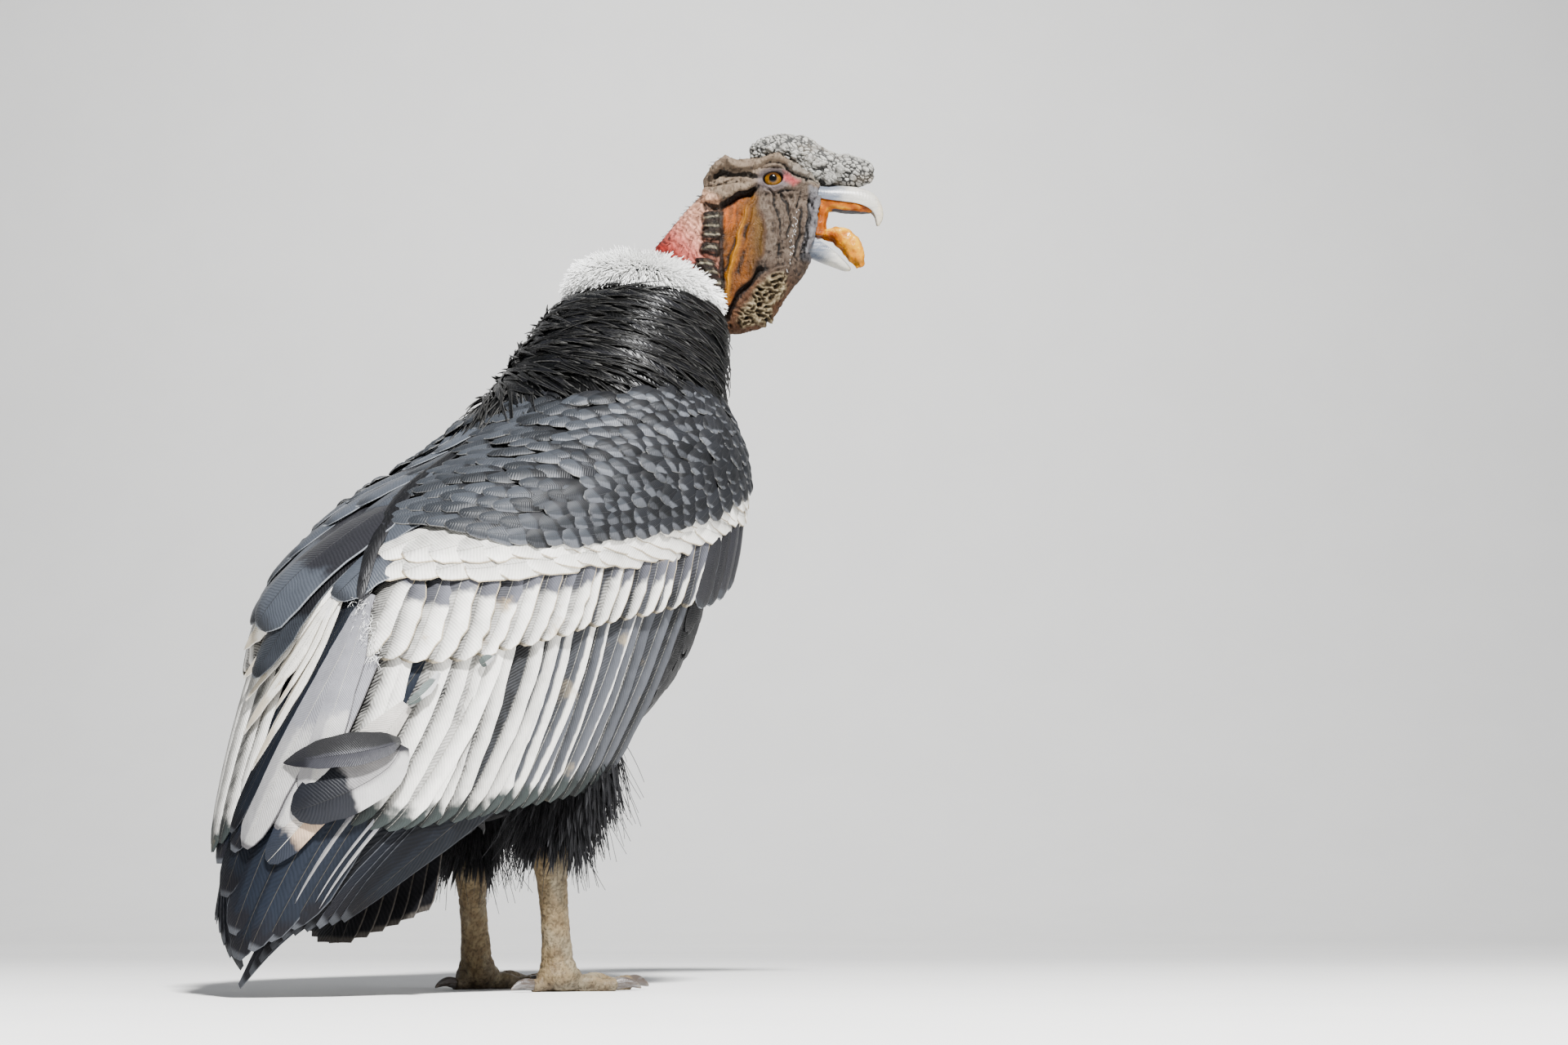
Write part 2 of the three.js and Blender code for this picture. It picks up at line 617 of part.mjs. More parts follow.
// The ruff: a downy dome round the neck, covered in short locks
const RUFF = { x: 161, y: -1, z: 728, r: 84, high: 36, tip: 9, locks: 14 };
const ruffTilt = new THREE.Matrix4().makeRotationY(RUFF.tip * DEG);
const zUp = new THREE.Matrix4().makeRotationX(90 * DEG);
const ruffCore = (grow = 0) =>
  egg(
    RUFF.x, RUFF.y, RUFF.z, RUFF.r - 7 + grow, RUFF.r - 9 + grow, RUFF.high - 5 + grow, 12, 5, ruffTilt,
  );
function ruff(grow = 0) {
  const parts = [ruffCore(grow)];
  const roll = dice(77);
  for (let i = 0; i < RUFF.locks; i += 1) {
    const turn = i * 2.39996;
    const down = (0.2 + 0.24 * ((i * 0.618) % 1)) * Math.PI;
    const out = new THREE.Vector3().setFromSphericalCoords(1, down, turn).applyMatrix4(zUp);
    const at = new THREE.Vector3(RUFF.r - 7, RUFF.r - 9, RUFF.high - 5).multiply(out);
    const fall = new THREE.Vector3(out.x, out.y, -0.9 * Math.sin(down) ** 2);
    parts.push(
      lock(at.applyMatrix4(ruffTilt).add(new THREE.Vector3(RUFF.x, RUFF.y, RUFF.z)), fall, out, {
        length: 24 + roll() * 6, width: 30, thick: 8, sink: 6, rise: 6, bend: -7, grow, outline: "down",
      }),
    );
  }
  return largest(join(parts));
}

// Twelve tail feathers in a fan, the middle pair outermost on the back
const TAIL_ROOT = [
  [-84, 0, 358, 34, 20], [-100, 0, 332, 46, 27], [-116, 0, 296, 50, 27], [-134, 0, 252, 62, 21],
  [-146, 0, 218, 58, 10],
];
const TAIL = { count: 12, x: -106, z: 320, length: 284, width: 47, spread: 15, slope: 70, drop: 2.6 };
const tailRoot = (grow = 0) => limb(TAIL_ROOT, ACROSS, 12, grow);
function tail(grow = 0) {
  const slope = TAIL.slope * DEG;
  const down = new THREE.Vector3(-Math.cos(slope), 0, -Math.sin(slope));
  const back = new THREE.Vector3(-Math.sin(slope), 0, Math.cos(slope));
  const base = new THREE.Vector3(TAIL.x, 0, TAIL.z);
  const parts = [tailRoot(grow)];
  for (let i = 0; i < TAIL.count; i += 1) {
    const place = i - (TAIL.count - 1) / 2;
    const turn = (place / (TAIL.count / 2)) * TAIL.spread * DEG;
    const direction = down.clone().multiplyScalar(Math.cos(turn)).setY(Math.sin(turn));
    const layer = -Math.abs(place) * TAIL.drop + (place > 0 ? 0.5 * TAIL.drop : 0);
    parts.push(
      lock(
        base.clone().addScaledVector(back, 9 + layer * 0.6).add(new THREE.Vector3(0, place * 4.2, 0)),
        direction, back,
        { length: TAIL.length * (1 - 0.018 * Math.abs(place)), width: TAIL.width, thick: 1.4,
          sink: 0, rise: layer * 0.4, bend: 8 - 0.8 * Math.abs(place), grow, outline: "rectrix" },
      ),
    );
  }
  return largest(join(parts));
}

// Legs
const HIP = { x: 8, y: 70, z: 262 };
const HOCK = { x: -10, y: 62, z: 132 };
const ANKLE = { x: -1, y: 62, z: 24 };
const THIGH = [
  [HIP.x + 6, HIP.y, HIP.z + 24, 34, 44],
  [HIP.x, HIP.y, HIP.z - 14, 42, 52],
  [HIP.x - 8, HIP.y - 3, HIP.z - 52, 37, 45],
  [HIP.x - 15, HIP.y - 6, HIP.z - 84, 29, 34],
  [HOCK.x - 4, HOCK.y, HOCK.z + 22, 23, 26],
  [HOCK.x - 2, HOCK.y, HOCK.z + 2, 17, 18],
];
const thighCore = (side, grow = 0) => limb(onSide(THIGH, side), ACROSS, 10, grow);
// Locks of the trousers, and the way they hang
const TROUSERS = { count: 5, length: 50, width: 34, thick: 3, rise: 3, bend: 3 };
const FALL = new THREE.Vector3(-0.12, 0, -1);
function thigh(side, trunkRoom) {
  const parts = [thighCore(side)];
  const roll = dice(60 + side);
  for (let row = 0; row < 2; row += 1) {
    for (let i = 0; i < TROUSERS.count; i += 1) {
      const a = ((i + row * 0.5) / TROUSERS.count) * 2 * Math.PI;
      const [x, y, z, w, h] = THIGH[2 + row];
      const out = new THREE.Vector3(-Math.cos(a), Math.sin(a) * side, 0);
      const root = new THREE.Vector3(x, y * side, z + 8).addScaledVector(out, (w + h) / 2);
      if (row === 0 && Math.sin(a) < -0.1) continue;
      const made = lock(root, FALL, out, {
        ...TROUSERS,
        length: TROUSERS.length + roll() * 14 - row * 6,
        width: TROUSERS.width - row * 4,
      });
      parts.push(made.subtract(trunkRoom));
    }
  }
  return largest(join(parts));
}
const TARSUS = [
  [HOCK.x - 3, HOCK.y, HOCK.z + 8, 15, 14],
  [HOCK.x - 2, HOCK.y, HOCK.z - 4, 17, 19],
  [HOCK.x, HOCK.y, HOCK.z - 20, 15, 17],
  [-7, 62, 84, 13, 15],
  [-4, 62, 56, 13, 15],
  [-2, 62, 36, 15, 16],
  [ANKLE.x, ANKLE.y, ANKLE.z + 4, 17, 17],
];
const tarsus = (side, grow = 0) => limb(onSide(TARSUS, side), ACROSS, 10, grow);

// Toes: heading from straight ahead, length without the claw, half width, half height at the root
const TOES = [
  { name: "middle", turn: 4, length: 88, half: 10.5, high: 10 },
  { name: "outer", turn: 30, length: 58, half: 9.5, high: 9 },
  { name: "inner", turn: -27, length: 56, half: 9.5, high: 9 },
  { name: "hind", turn: 184, length: 30, half: 8.5, high: 8.5 },
];
const SCUTES = 3;
function toeRows(side, toe) {
  const heading = toe.turn * side * DEG;
  const steps = SCUTES * 2;
  return Array.from({ length: steps + 1 }, (_, i) => {
    const t = i / steps;
    const reach = mix(6, toe.length, t);
    const bump = i % 2 ? 1.07 : 0.96;
    const knuckle = 1 + 0.12 * Math.cos(t * 4 * Math.PI);
    const slim = mix(1, 0.68, t) * knuckle * bump;
    return [
      ANKLE.x + Math.cos(heading) * reach, ANKLE.y * side + Math.sin(heading) * reach,
      toe.high * slim * 0.86 + 3 * Math.exp(-t * 5), toe.half * slim, toe.high * slim,
    ];
  });
}
const toeAcross = (side, toe) =>
  new THREE.Vector3(-Math.sin(toe.turn * side * DEG), Math.cos(toe.turn * side * DEG), 0);
const belowFloor = solid(new THREE.BoxGeometry(900, 900, 200).translate(0, 0, -100));
const ANKLE_STEM = [[ANKLE.x, ANKLE.y, 27.5, 17, 17], [ANKLE.x + 1, ANKLE.y, 12, 19, 20]];
function foot(side) {
  const parts = [
    egg(ANKLE.x + 2, ANKLE.y * side, 13, 24, 20, 16, 10, 6),
    limb(onSide(ANKLE_STEM, side), ACROSS, 10),
    ...TOES.map((toe) => limb(toeRows(side, toe), toeAcross(side, toe), 6)),
  ];
  return largest(join(parts).subtract(belowFloor).subtract(tarsus(side, GAP)));
}
function claw(side, toe) {
  const heading = toe.turn * side * DEG;
  const end = toeRows(side, toe).at(-1);
  const rows = [[-5, 0, 0.9], [8, 2.8, 1], [18, 1.6, 0.7], [26, -3.4, 0.14]].map(([reach, rise, s]) => [
    end[0] + Math.cos(heading) * (reach + GAP), end[1] + Math.sin(heading) * (reach + GAP),
    end[2] + rise, end[3] * 0.72 * s, end[4] * 0.86 * s,
  ]);
  const toeEnd = limb(toeRows(side, toe), toeAcross(side, toe), 6, GAP);
  return largest(limb(rows, toeAcross(side, toe), 6).subtract(toeEnd));
}

const group = new THREE.Group();
const paint = (color, roughness) => new THREE.MeshStandardMaterial({ color, roughness });
const MATERIALS = {
  blackFeather: paint(0x1d1e21, 0.6),
  wingFeather: paint(0x8d8f8e, 0.65),
  white: paint(0xf2f0ea, 0.9),
  skin: paint(0x8a6f5e, 0.6),
  neckSkin: paint(0xc87a62, 0.6),
  comb: paint(0x8f8f8c, 0.7),
  horn: paint(0xe8e2d2, 0.35),
  mouth: paint(0xe08a1c, 0.35),
  eye: paint(0x6b4a12, 0.1),
  leg: paint(0x9a8a68, 0.65),
  claw: paint(0x4b3a2c, 0.4),
};
function show(name, made, material) {
  const m = made.getMesh();
  const positions = new Float32Array(m.numVert * 3);
  for (let i = 0; i < m.numVert; i += 1) {
    positions.set(m.vertProperties.subarray(i * m.numProp, i * m.numProp + 3), i * 3);
  }
  const geometry = new THREE.BufferGeometry()
    .setAttribute("position", new THREE.BufferAttribute(positions, 3))
    .setIndex(new THREE.BufferAttribute(m.triVerts, 1));
  const mesh = new THREE.Mesh(geometry, material);
  mesh.name = name;
  group.add(mesh);
}
const less = (made, ...cuts) => largest(cuts.reduce((rest, cut) => rest.subtract(cut), made));

const torso = (grow) => trunk(TRUNK[0][0], TRUNK_TOP, 16, 9, grow);
// The torso with a little room round it, without what is let into it
const trunkRoom = (inlet) => torso(GAP).subtract(inlet);

for (const [name, side, seed] of [["right", RIGHT, 11], ["left", LEFT, 23]]) {
  show(`wing_${name}`, less(wing(side, seed), trunkRoom(arm(side, 0))), MATERIALS.wingFeather);
  show(`thigh_${name}`, less(thigh(side, torso(GAP)), tarsus(side, GAP)), MATERIALS.blackFeather);
  show(`tarsus_${name}`, tarsus(side), MATERIALS.leg);
  show(`foot_${name}`, foot(side), MATERIALS.leg);
  for (const toe of TOES) show(`claw_${name}_${toe.name}`, claw(side, toe), MATERIALS.claw);
  show(`eye_${name}`, eyeball(side), MATERIALS.eye);
}
const arms = [arm(RIGHT, GAP), arm(LEFT, GAP)];
const legTops = [thighCore(RIGHT, GAP), thighCore(LEFT, GAP)];
const body = less(torso(0), ...arms, tailRoot(GAP), ...legTops);
show("torso", body, MATERIALS.blackFeather);
show("tail", less(tail(), trunkRoom(tailRoot())), MATERIALS.blackFeather);
const neckRoom = [neckTube(GAP), throat(GAP)];
const cape = less(mantle(), ...arms, torso(GAP), ...neckRoom, ruffCore(GAP));
show("mantle", cape, MATERIALS.blackFeather);
const capeRoom = mantleCore(GAP).subtract(ruffCore());
show("ruff", less(ruff(), ...neckRoom, capeRoom), MATERIALS.white);
show("neck", less(neckTube(), throat(GAP)), MATERIALS.neckSkin);
show("throat", less(throat()), MATERIALS.neckSkin);
const bill = [upperBill(GAP), lowerBill(GAP), tongue(GAP), mouth(GAP)];
const set = [combCore(GAP), eyeball(RIGHT, GAP), eyeball(LEFT, GAP)];
show("head", headNode([...bill, ...set, ...neckRoom]), MATERIALS.skin);
show("comb", less(comb(), upperBill(GAP)), MATERIALS.comb);
show("bill_upper", less(upperBill()), MATERIALS.horn);
show("mouth", less(mouth(), ...bill.slice(0, 3), throat(GAP)), MATERIALS.mouth);
show("bill_lower", less(lowerBill(), tongue(GAP), throat(GAP)), MATERIALS.horn);
show("tongue", less(tongue(), throat(GAP)), MATERIALS.mouth);

// The middle of the whole lies over the origin
const box = new THREE.Box3().setFromObject(group);
const middle = box.getCenter(new THREE.Vector3());
group.position.set(-middle.x, -middle.y, 0);
export default group;
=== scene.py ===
"""A male Andean condor at rest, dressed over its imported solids. Tables are in millimetres about the
bird's own origin, +X the way it faces, +Y its left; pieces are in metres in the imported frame."""
import math

import bmesh
import bpy
import numpy as np
from mathutils import Matrix, Vector, noise


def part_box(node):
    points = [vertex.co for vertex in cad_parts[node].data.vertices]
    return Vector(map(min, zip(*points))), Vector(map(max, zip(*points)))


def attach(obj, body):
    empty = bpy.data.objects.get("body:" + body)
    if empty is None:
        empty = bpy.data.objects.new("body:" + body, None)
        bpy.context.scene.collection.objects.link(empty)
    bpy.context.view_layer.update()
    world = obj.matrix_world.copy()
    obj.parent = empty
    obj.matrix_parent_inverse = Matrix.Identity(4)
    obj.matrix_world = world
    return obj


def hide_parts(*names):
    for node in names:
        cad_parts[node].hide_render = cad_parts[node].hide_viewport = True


MM = 0.001
DEG = math.pi / 180
RIGHT = -1
LEFT = 1
SIDES = ((RIGHT, "right"), (LEFT, "left"))

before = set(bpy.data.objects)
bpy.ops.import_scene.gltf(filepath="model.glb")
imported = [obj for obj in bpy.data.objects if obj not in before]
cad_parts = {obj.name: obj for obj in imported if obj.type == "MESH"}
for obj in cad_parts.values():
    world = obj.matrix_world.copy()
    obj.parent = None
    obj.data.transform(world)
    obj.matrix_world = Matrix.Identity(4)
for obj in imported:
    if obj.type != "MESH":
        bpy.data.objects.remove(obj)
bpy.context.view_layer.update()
bpy.ops.object.select_all(action="DESELECT")

# The head's own axes: forward, left and up from the middle of the line between the eyes
EYE_LINE = np.array([274.0, -83.0, 862.0])
HEAD_TURN = -45 * DEG
HEAD_SCALE = 1.1
EYE = np.array([0.0, 26.5, -8.0])
EYE_RADIUS = 8.6
HEAD_AXES = np.array([
    [math.cos(HEAD_TURN), math.sin(HEAD_TURN), 0],
    [-math.sin(HEAD_TURN), math.cos(HEAD_TURN), 0],
    [0, 0, 1],
])
LEFTWARD = np.array([0, 1.0, 0])


def in_head(points):
    """Places given in the head's own axes, in the bird's."""
    return EYE_LINE + (np.asarray(points, float) * HEAD_SCALE) @ HEAD_AXES


def of_head(points):
    """Places of the bird, in the head's own axes."""
    return (np.asarray(points, float) - EYE_LINE) @ HEAD_AXES.T / HEAD_SCALE


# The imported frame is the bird's own, moved level; the right eye shows by how much
eye_low, eye_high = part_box("eye_right")
SHIFT = (np.array(eye_low) + np.array(eye_high)) / 2 / MM - in_head(EYE * [1, -1, 1])
SHIFT[2] = 0


def to_frame(points):
    return (np.asarray(points, float) + SHIFT) * MM


# Wings and back together make one cloak: height, centre x, half length, half width
CLOAK = np.array([
    [0, -206, 152, 90], [70, -186, 164, 112], [140, -154, 181, 134], [217, -113, 204, 150],
    [300, -66, 226, 163], [375, -28, 238, 171], [465, 26, 204, 173], [530, 76, 150, 154],
    [570, 96, 122, 132], [605, 106, 100, 108],
], float)
CLOAK_POWER = 2.6

# The trunk under the wings, and the base of the neck
TRUNK = np.array([
    [168, -70, 14, 16], [180, -66, 46, 44], [205, -52, 80, 74], [250, -28, 118, 104],
    [310, -2, 152, 130], [375, 18, 166, 146], [465, 42, 156, 152], [530, 74, 134, 138],
    [585, 98, 117, 118], [625, 118, 105, 104], [668, 138, 92, 92], [704, 156, 80, 80],
    [722, 166, 66, 66],
], float)
TRUNK_POWER = 2.2


def along(table, column, at):
    """Smooth value of one column of a table, read at places in its first column."""
    table = np.asarray(table, float)
    x, y = table[:, 0], table[:, column]
    slope = np.empty_like(y)
    slope[1:-1] = (y[2:] - y[:-2]) / (x[2:] - x[:-2])
    slope[0] = (y[1] - y[0]) / (x[1] - x[0])
    slope[-1] = (y[-1] - y[-2]) / (x[-1] - x[-2])
    at = np.clip(at, x[0], x[-1])
    i = np.clip(np.searchsorted(x, at) - 1, 0, len(x) - 2)
    step = x[i + 1] - x[i]
    t = (at - x[i]) / step
    t2, t3 = t * t, t * t * t
    return (
        (2 * t3 - 3 * t2 + 1) * y[i]
        + (t3 - 2 * t2 + t) * step * slope[i]
        + (3 * t2 - 2 * t3) * y[i + 1]
        + (t3 - t2) * step * slope[i + 1]
    )


def unit(v):
    return v / np.maximum(np.linalg.norm(v, axis=-1, keepdims=True), 1e-9)


def mix(a, b, t):
    return a + (b - a) * t


def smooth(value, low, high):
    """0 below low, 1 above high, and an even rise between them."""
    t = np.clip((np.asarray(value, float) - low) / (high - low), 0, 1)
    return t * t * (3 - 2 * t)


def rounded_box(table, power, angle, height, side=1):
    """Point of a level section; the angle runs from the back over the side to the breast."""
    cos, sin = np.cos(angle), np.sin(angle)
    a, b = along(table, 2, height), along(table, 3, height)
    reach = (np.abs(cos / a) ** power + np.abs(sin / b) ** power) ** (-1 / power)
    return np.stack([along(table, 1, height) - reach * cos, side * reach * sin, height], -1)


class Surface:
    """A stack of level sections that feathers are laid on. Places on it are angle and height."""

    def __init__(self, table, power):
        self.table = table
        self.power = power

    def point(self, side, angle, height):
        return rounded_box(self.table, self.power, angle, height, side)

    def axes(self, side, angle, height):
        """Place, slopes along angle and height, and the ways out, down and to the back."""
        step = 0.01
        at = self.point(side, angle, height)
        turn = self.point(side, angle + step, height) - self.point(side, angle - step, height)
        turn = turn / (2 * step)
        rise = (self.point(side, angle, height + 1) - self.point(side, angle, height - 1)) / 2
        out = unit(np.cross(rise, turn)) * side
        down = -unit(rise)
        back = -turn + down * np.sum(turn * down, -1, keepdims=True)
        return at, turn, rise, out, down, unit(back)

    def move(self, side, angle, height, heading, length):
        """Goes a length along a direction that leans from down (0) to the back (90 degrees)."""
        _, turn, rise, _, down, back = self.axes(side, angle, height)
        lean = np.asarray(heading)[..., None]
        d = (down * np.cos(lean) + back * np.sin(lean)) * np.asarray(length)[..., None]
        rr, rz, zz = (np.sum(a * b, -1) for a, b in ((turn, turn), (turn, rise), (rise, rise)))
        dr, dz = np.sum(d * turn, -1), np.sum(d * rise, -1)
        det = rr * zz - rz * rz
        return angle + (dr * zz - dz * rz) / det, height + (dz * rr - dr * rz) / det


cloak = Surface(CLOAK, CLOAK_POWER)
trunk = Surface(TRUNK, TRUNK_POWER)

# Half width of a feather along its length, as a share of its full half width
OUTLINES = {
    "flight": [[0, 0.3], [0.25, 0.86], [0.6, 1], [0.86, 0.93], [0.96, 0.66], [1, 0.2]],
    "primary": [[0, 0.3], [0.25, 0.9], [0.5, 1], [0.72, 0.78], [0.9, 0.46], [1, 0.1]],
    "covert": [[0, 0.4], [0.3, 0.94], [0.7, 1], [0.9, 0.8], [0.97, 0.5], [1, 0.14]],
    "scale": [[0, 0.4], [0.35, 0.98], [0.66, 1], [0.88, 0.76], [0.97, 0.42], [1, 0.1]],
    "leaf": [[0, 0.15], [0.2, 0.7], [0.5, 1], [0.75, 0.85], [0.92, 0.4], [1, 0.05]],
    "hackle": [[0, 0.5], [0.25, 1], [0.6, 0.86], [0.85, 0.5], [1, 0.06]],
    "strand": [[0, 1], [0.5, 0.8], [1, 0.1]],
    "rectrix": [[0, 0.3], [0.3, 0.8], [0.65, 1], [0.92, 1], [0.98, 0.9], [1, 0.7]],
}


def rings_of(outline, count):
    """Places along a feather, closer together near its tip, and its half widths there."""
    t = 1 - (1 - np.linspace(0, 1, count)) ** 1.35
    table = np.array(OUTLINES[outline])
    return t, np.interp(t, table[:, 0], table[:, 1])


# Where the points of a feather's rings lie: front edge, webs, shaft, webs, rear edge
VANE = np.array([-1, -0.6, -0.2, 0.35, 1.0])
LEAF = np.array([-1, 0.0, 1.0])
HAIR = np.array([-1, 1.0])
# Side of the square that each feather takes on the map for baking
BAKE_PATCH = 0.003
SHARP_EDGE = 50 * DEG


def linked(name, data):
    """A new object in the scene."""
    obj = bpy.data.objects.new(name, data)
    bpy.context.scene.collection.objects.link(obj)
    return obj


def feather_faces(rings, wide):
    """Faces of one feather: its two sides, then the thin edges that join them."""
    i, j = (a.ravel() for a in np.meshgrid(range(rings - 1), range(wide - 1), indexing="ij"))
    r, c = np.arange(rings - 1), np.arange(wide - 1)
    end, last = rings - 1, wide - 1

    def quads(*corners):
        """Each corner is a ring, a place across it, and 0 for the upper side or 1 for the lower."""
        return np.stack([(low * rings + ring) * wide + place for ring, place, low in corners], -1)

    return np.concatenate([
        quads((i, j, 0), (i + 1, j, 0), (i + 1, j + 1, 0), (i, j + 1, 0)),
        quads((i, j, 1), (i, j + 1, 1), (i + 1, j + 1, 1), (i + 1, j, 1)),
        quads((r, 0, 0), (r, 0, 1), (r + 1, 0, 1), (r + 1, 0, 0)),
        quads((r, last, 0), (r + 1, last, 0), (r + 1, last, 1), (r, last, 1)),
        quads((0, c, 0), (0, c + 1, 0), (0, c + 1, 1), (0, c, 1)),
        quads((end, c, 0), (end, c, 1), (end, c + 1, 1), (end, c + 1, 0)),
    ])


def feather_mesh(name, look, grid, out, across, thick, marks, root_uv):
    """Joins many thin feathers into one object.

    grid is feather, ring, across, xyz in millimetres; out is the way each point's face looks;
    marks are named values per feather; root_uv is each root's place on the unwrapped skin.
    """
    count, rings, wide, _ = grid.shape
    each = 2 * rings * wide
    points = np.stack([grid + out * thick / 2, grid - out * thick / 2], 1).reshape(count, each, 3)
    one = feather_faces(rings, wide)
    # A face in the middle shows which feathers have to be turned to look out
    sample = one[(rings - 1) * (wide - 1) // 2]
    a, b, d = (points[:, sample[k]] for k in (0, 1, 3))
    inward = np.sum(np.cross(b - a, d - a) * out.reshape(count, -1, 3)[:, sample[0]], -1) < 0
    turned = np.where(inward[:, None, None], one[None, :, ::-1], one[None])
    faces = (turned + (np.arange(count) * each)[:, None, None]).reshape(-1, 4)
    corners = faces.ravel()
    mesh = bpy.data.meshes.new(name)
    mesh.vertices.add(count * each)
    mesh.vertices.foreach_set("co", to_frame(points.reshape(-1, 3)).ravel())
    mesh.loops.add(len(corners))
    mesh.loops.foreach_set("vertex_index", corners)
    mesh.polygons.add(len(faces))
    mesh.polygons.foreach_set("loop_start", np.arange(0, len(corners), 4))
    mesh.polygons.foreach_set("loop_total", np.full(len(faces), 4))
    mesh.update(calc_edges=True)
    along_it = np.repeat(rings_of("flight", rings)[0], wide)
    own = np.tile(np.stack([np.tile((across + 1) / 2, rings), along_it], -1), (2, 1))
    patch = np.asarray(root_uv)[:, None, :] + BAKE_PATCH * (own[None] - 0.5)
    for title, uv in (("vane", np.tile(own, (count, 1))), ("OFBake", patch.reshape(-1, 2))):
        mesh.uv_layers.new(name=title).data.foreach_set("uv", uv[corners].ravel())
    for mark, values in marks.items():
        spread = np.repeat(np.asarray(values, np.float32), each)
        mesh.attributes.new(mark, "FLOAT", "POINT").data.foreach_set("value", spread)
    mesh.polygons.foreach_set("use_smooth", np.ones(len(faces), bool))
    mesh.set_sharp_from_angle(angle=SHARP_EDGE)
    mesh.materials.append(look)
    obj = linked(name, mesh)
    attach(obj, "root")
    return obj


def marched(surface, side, f, t, from_tip):
    """Lines of feathers that go a length along a turning direction, from their roots or tips."""
    count, rings = len(f["angle"]), len(t)
    angle, height = f["angle"].copy(), f["height"].copy()
    line = np.empty((3, count, rings))
    order = range(rings)[::-1] if from_tip else range(rings)
    gone = t[order[0]]
    for r in order:
        for _ in range(3):
            heading = f["lean"] + f["curl"] * (gone + t[r]) / 2
            angle, height = surface.move(side, angle, height, heading, f["length"] * (t[r] - gone) / 3)
        gone = t[r]
        line[:, :, r] = angle, height, f["lean"] + f["curl"] * t[r]
    return line


def spanned(surface, side, f, t):
    """Lines of feathers between a root and a tip, bowed to one side on the way."""
    arch = 4 * t * (1 - t)
    angle = f["angle"][:, None] + (f["tip_angle"] - f["angle"])[:, None] * t
    angle = angle + f["bow"][:, None] * arch
    height = f["height"][:, None] + (f["tip_height"] - f["height"])[:, None] * t
    at, _, _, _, down, back = surface.axes(side, angle, height)
    way = unit(np.gradient(at, axis=1))
    heading = np.arctan2(np.sum(way * back, -1), np.sum(way * down, -1))
    return np.stack([angle, height, heading])


def lay(surface, side, f, outline, rings, across, line):
    """Lays feathers on a surface. Positive across is the side nearer the spine."""
    t, share = rings_of(outline, rings)
    count = len(f["angle"])
    grid = np.empty((count, rings, len(across), 3))
    out = np.empty_like(grid)
    for r in range(rings):
        angle, height, heading = line[:, :, r]
        for k, w in enumerate(across):
            ragged = f["ragged"][:, r] if abs(w) == 1 else 1
            half = f["width"] / 2 * share[r] * w * ragged
            a, h = surface.move(side, angle, height, heading + math.pi / 2, half)
            at, _, _, face, _, _ = surface.axes(side, a, h)
            lift = f["lift"] + f["rise"] * t[r] - f["sink"] * (1 - smooth(t[r], 0, 0.22))
            lift = lift - f["roll"] * half + f["camber"] * f["width"] * share[r] * (1 - w * w)
            lift = lift + f["arch"] * 4 * t[r] * (1 - t[r])
            grid[:, r, k] = at + face * lift[:, None]
            out[:, r, k] = face
    return grid, out


# Bends of a blade that its call leaves out
BLADE = {"rise": 0, "bend": 0, "droop": 0, "sway": 0, "camber": 0}


def blades(name, slot, look, outline, rings, across, thick, roll, base, face, way, uv, zone=0, **size):
    """Feathers in open space, which leave their base along a way and bend to their face."""
    count = len(base)
    size = {key: np.broadcast_to(value, count) for key, value in {**BLADE, **size}.items()}
    t, share = rings_of(outline, rings)
    way = unit(way)
    face = unit(face - way * np.sum(face * way, -1, keepdims=True))
    side = np.cross(way, face)
    grid = np.empty((count, rings, len(across), 3))
    out = np.empty_like(grid)
    for r in range(rings):
        centre = base + way * (size["length"] * t[r])[:, None]
        centre = centre + face * (size["rise"] * t[r] + size["bend"] * t[r] ** 2)[:, None]
        centre = centre + np.array([0, 0, -1.0]) * (size["droop"] * t[r] ** 2)[:, None]
        centre = centre + side * (size["sway"] * np.sin(t[r] * 3))[:, None]
        for k, w in enumerate(across):
            half = size["width"] / 2 * share[r] * w
            cup = size["camber"] * size["width"] * share[r] * (1 - w * w)
            grid[:, r, k] = centre + side * half[:, None] + face * cup[:, None]
            out[:, r, k] = face
    marks = {"tint": roll.random(count), "zone": np.full(count, zone)}
    return feather_mesh(name, look, grid, out, across, thick, marks, uv)


